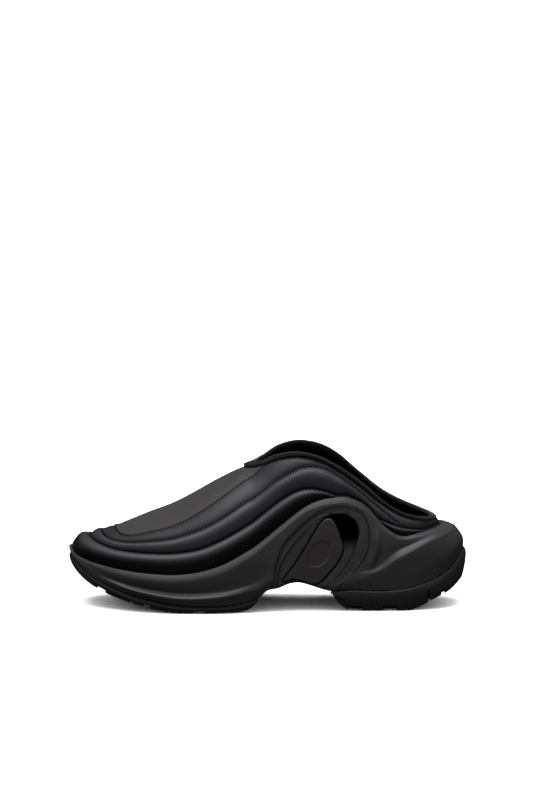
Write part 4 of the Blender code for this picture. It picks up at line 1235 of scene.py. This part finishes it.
# %% Treads
TREAD_PROUD = 0.0010
HEEL_FLARE = 0.0010
TREAD_TAPER = 0.0060
GROOVE_SLANT = 0.004
SIPE = (0.0016 / LENGTH, 0.0016)
FORE_GROOVES = [(0.088, 0.020, 0.0030), (0.204, 0.018, 0.0030), (0.334, 0.032, 0.0026)]
FORE_GROOVES += [(station, *SIPE) for station in (0.165, 0.261, 0.292, 0.412)]
HEEL_GROOVES = [(0.726, 0.036, 0.0042), (0.812, 0.034, 0.0042), (0.944, 0.007, 0.0036),
                (0.910, 0.004, 0.0100)]
HEEL_GROOVES += [(station, *SIPE) for station in (0.769, 0.854)]
END_ROUND, END_PINCH = 0.0032, 0.12
INNER_CUT, INNER_SHARE, INNER_RUN = 0.0005, 0.80, 0.10
LEAST_TREAD = 0.0003
BOTTOM_STEP = 0.0005
SECTIONS = 260
NUDGE = 1e-6
SLIT = 0.0050
EDGE = 0.00004
GROOVE_SHADE_DEPTH = 0.0018
END_HALF = 0.0003
ACROSS = 22
foot_ring = foot_plan.copy()
foot_ring[:, 2] = foot_low
foot_normal = plan_normals(foot_ring)
ring_share = foot_ring[:, :1] / LENGTH + 0.5
taper = TREAD_TAPER * between(ring_share, 0.03, 0.15, 0.99, 0.12)
proud = foot_ring + foot_normal * TREAD_PROUD
bulge = proud + foot_normal * HEEL_FLARE * smooth((ring_share - 0.86) / 0.10)


def edge_y(ring, x, near):
    """Where a loop's lateral or medial side is, at places along the shoe."""
    part = ring[: STATIONS + 1] if near else np.concatenate([ring[:1], ring[: STATIONS - 1: -1]])
    order = np.argsort(part[:, 0])
    return np.interp(x, part[order, 0], part[order, 1])


def make_rubber(name, node, rows, grooves, first, last, flare):
    """A tread from its sections: levels from the foam down, each a line across the shoe."""
    swell = bulge if flare else proud
    levels = [(0.0, foot_ring), (0.05, proud), (0.12, swell * 0.5 + proud * 0.5), (0.35, swell),
              (0.75, swell - foot_normal * taper * 0.6), (0.93, swell - foot_normal * taper * 0.93),
              (1.0, swell - foot_normal * (taper + BOTTOM_STEP))]
    low_x = max((first - 0.5) * LENGTH, foot_ring[:, 0].min() + NUDGE)
    high_x = min((last - 0.5) * LENGTH, max(level[1][:, 0].max() for level in levels) - NUDGE)
    turn = (1.0 - np.cos(np.linspace(0.0, np.pi, SECTIONS))) / 2.0
    x = low_x + (high_x - low_x) * turn
    edges = np.array([(station + sign * width / 2.0 - 0.5) * LENGTH + nudge * EDGE
                      for station, width, _ in grooves for sign in (-1, 1) for nudge in (-1, 1)])
    x = np.unique(np.concatenate([x, edges[(edges > low_x) & (edges < high_x)]]))
    station = x / LENGTH + 0.5
    cut, inner = np.zeros(len(x)), np.zeros(len(x))
    for middle, width, depth in grooves:
        there = np.abs(station - middle) < width / 2.0
        cut = np.where(there, depth, cut)
        inner = np.where(there, min(depth, INNER_CUT) if depth < SLIT else 0.0, inner)
    share = np.linspace(0.0, 1.0, ACROSS + 1)
    outer = smooth((np.abs(2.0 * share - 1.0) - INNER_SHARE) / INNER_RUN)
    cut = inner[:, None] + (cut - inner)[:, None] * outer
    from_end = np.clip(np.minimum(x - low_x, high_x - x) / END_ROUND, 0.0, 1.0)
    pinch = END_PINCH + (1.0 - END_PINCH) * np.sqrt(1.0 - (1.0 - from_end) ** 2)
    body = []
    for depth, ring in levels:
        near, far = edge_y(ring, x, True), edge_y(ring, x, False)
        half = np.maximum((far - near) / 2.0, END_HALF)
        y = ((near + far) / 2.0)[:, None] + half[:, None] * (2.0 * share - 1.0)
        slanted = x[:, None] + GROOVE_SLANT * y / BALL_WIDTH
        where = slanted / LENGTH + 0.5
        top = read(FOAM, "underside", where) * INSTEP_HEIGHT - GAP
        under = np.maximum(read(rows, "underside", where), 0.0) * INSTEP_HEIGHT
        cut_under = np.minimum(under + cut, top - LEAST_TREAD)
        height = cut_under if depth == 1.0 else np.maximum(top + (under - top) * depth, cut_under)
        middle = (top + cut_under) / 2.0
        body.append(np.stack([slanted, y, middle + (height - middle) * pinch[:, None]], axis=-1))
    body = np.array(body)
    sheets = [Sheet(face) for face in (
        body[0], body[-1], body[:, :, 0], body[:, :, -1], body[:, 0], body[:, -1])]
    # Painted shade inside the grooves, full where a groove is cut deep enough.
    sheets[1].marks = {"groove": smooth(cut / GROOVE_SHADE_DEPTH)}
    return make_piece(name, sheets, [rubber.material], [node], sharp=35.0)


make_rubber("tread_fore", "outsole_forefoot", FORE_TREAD, FORE_GROOVES, 0.0, 0.482, False)
make_rubber("tread_heel", "outsole_heel", HEEL_TREAD, HEEL_GROOVES, 0.664, 1.0, True)
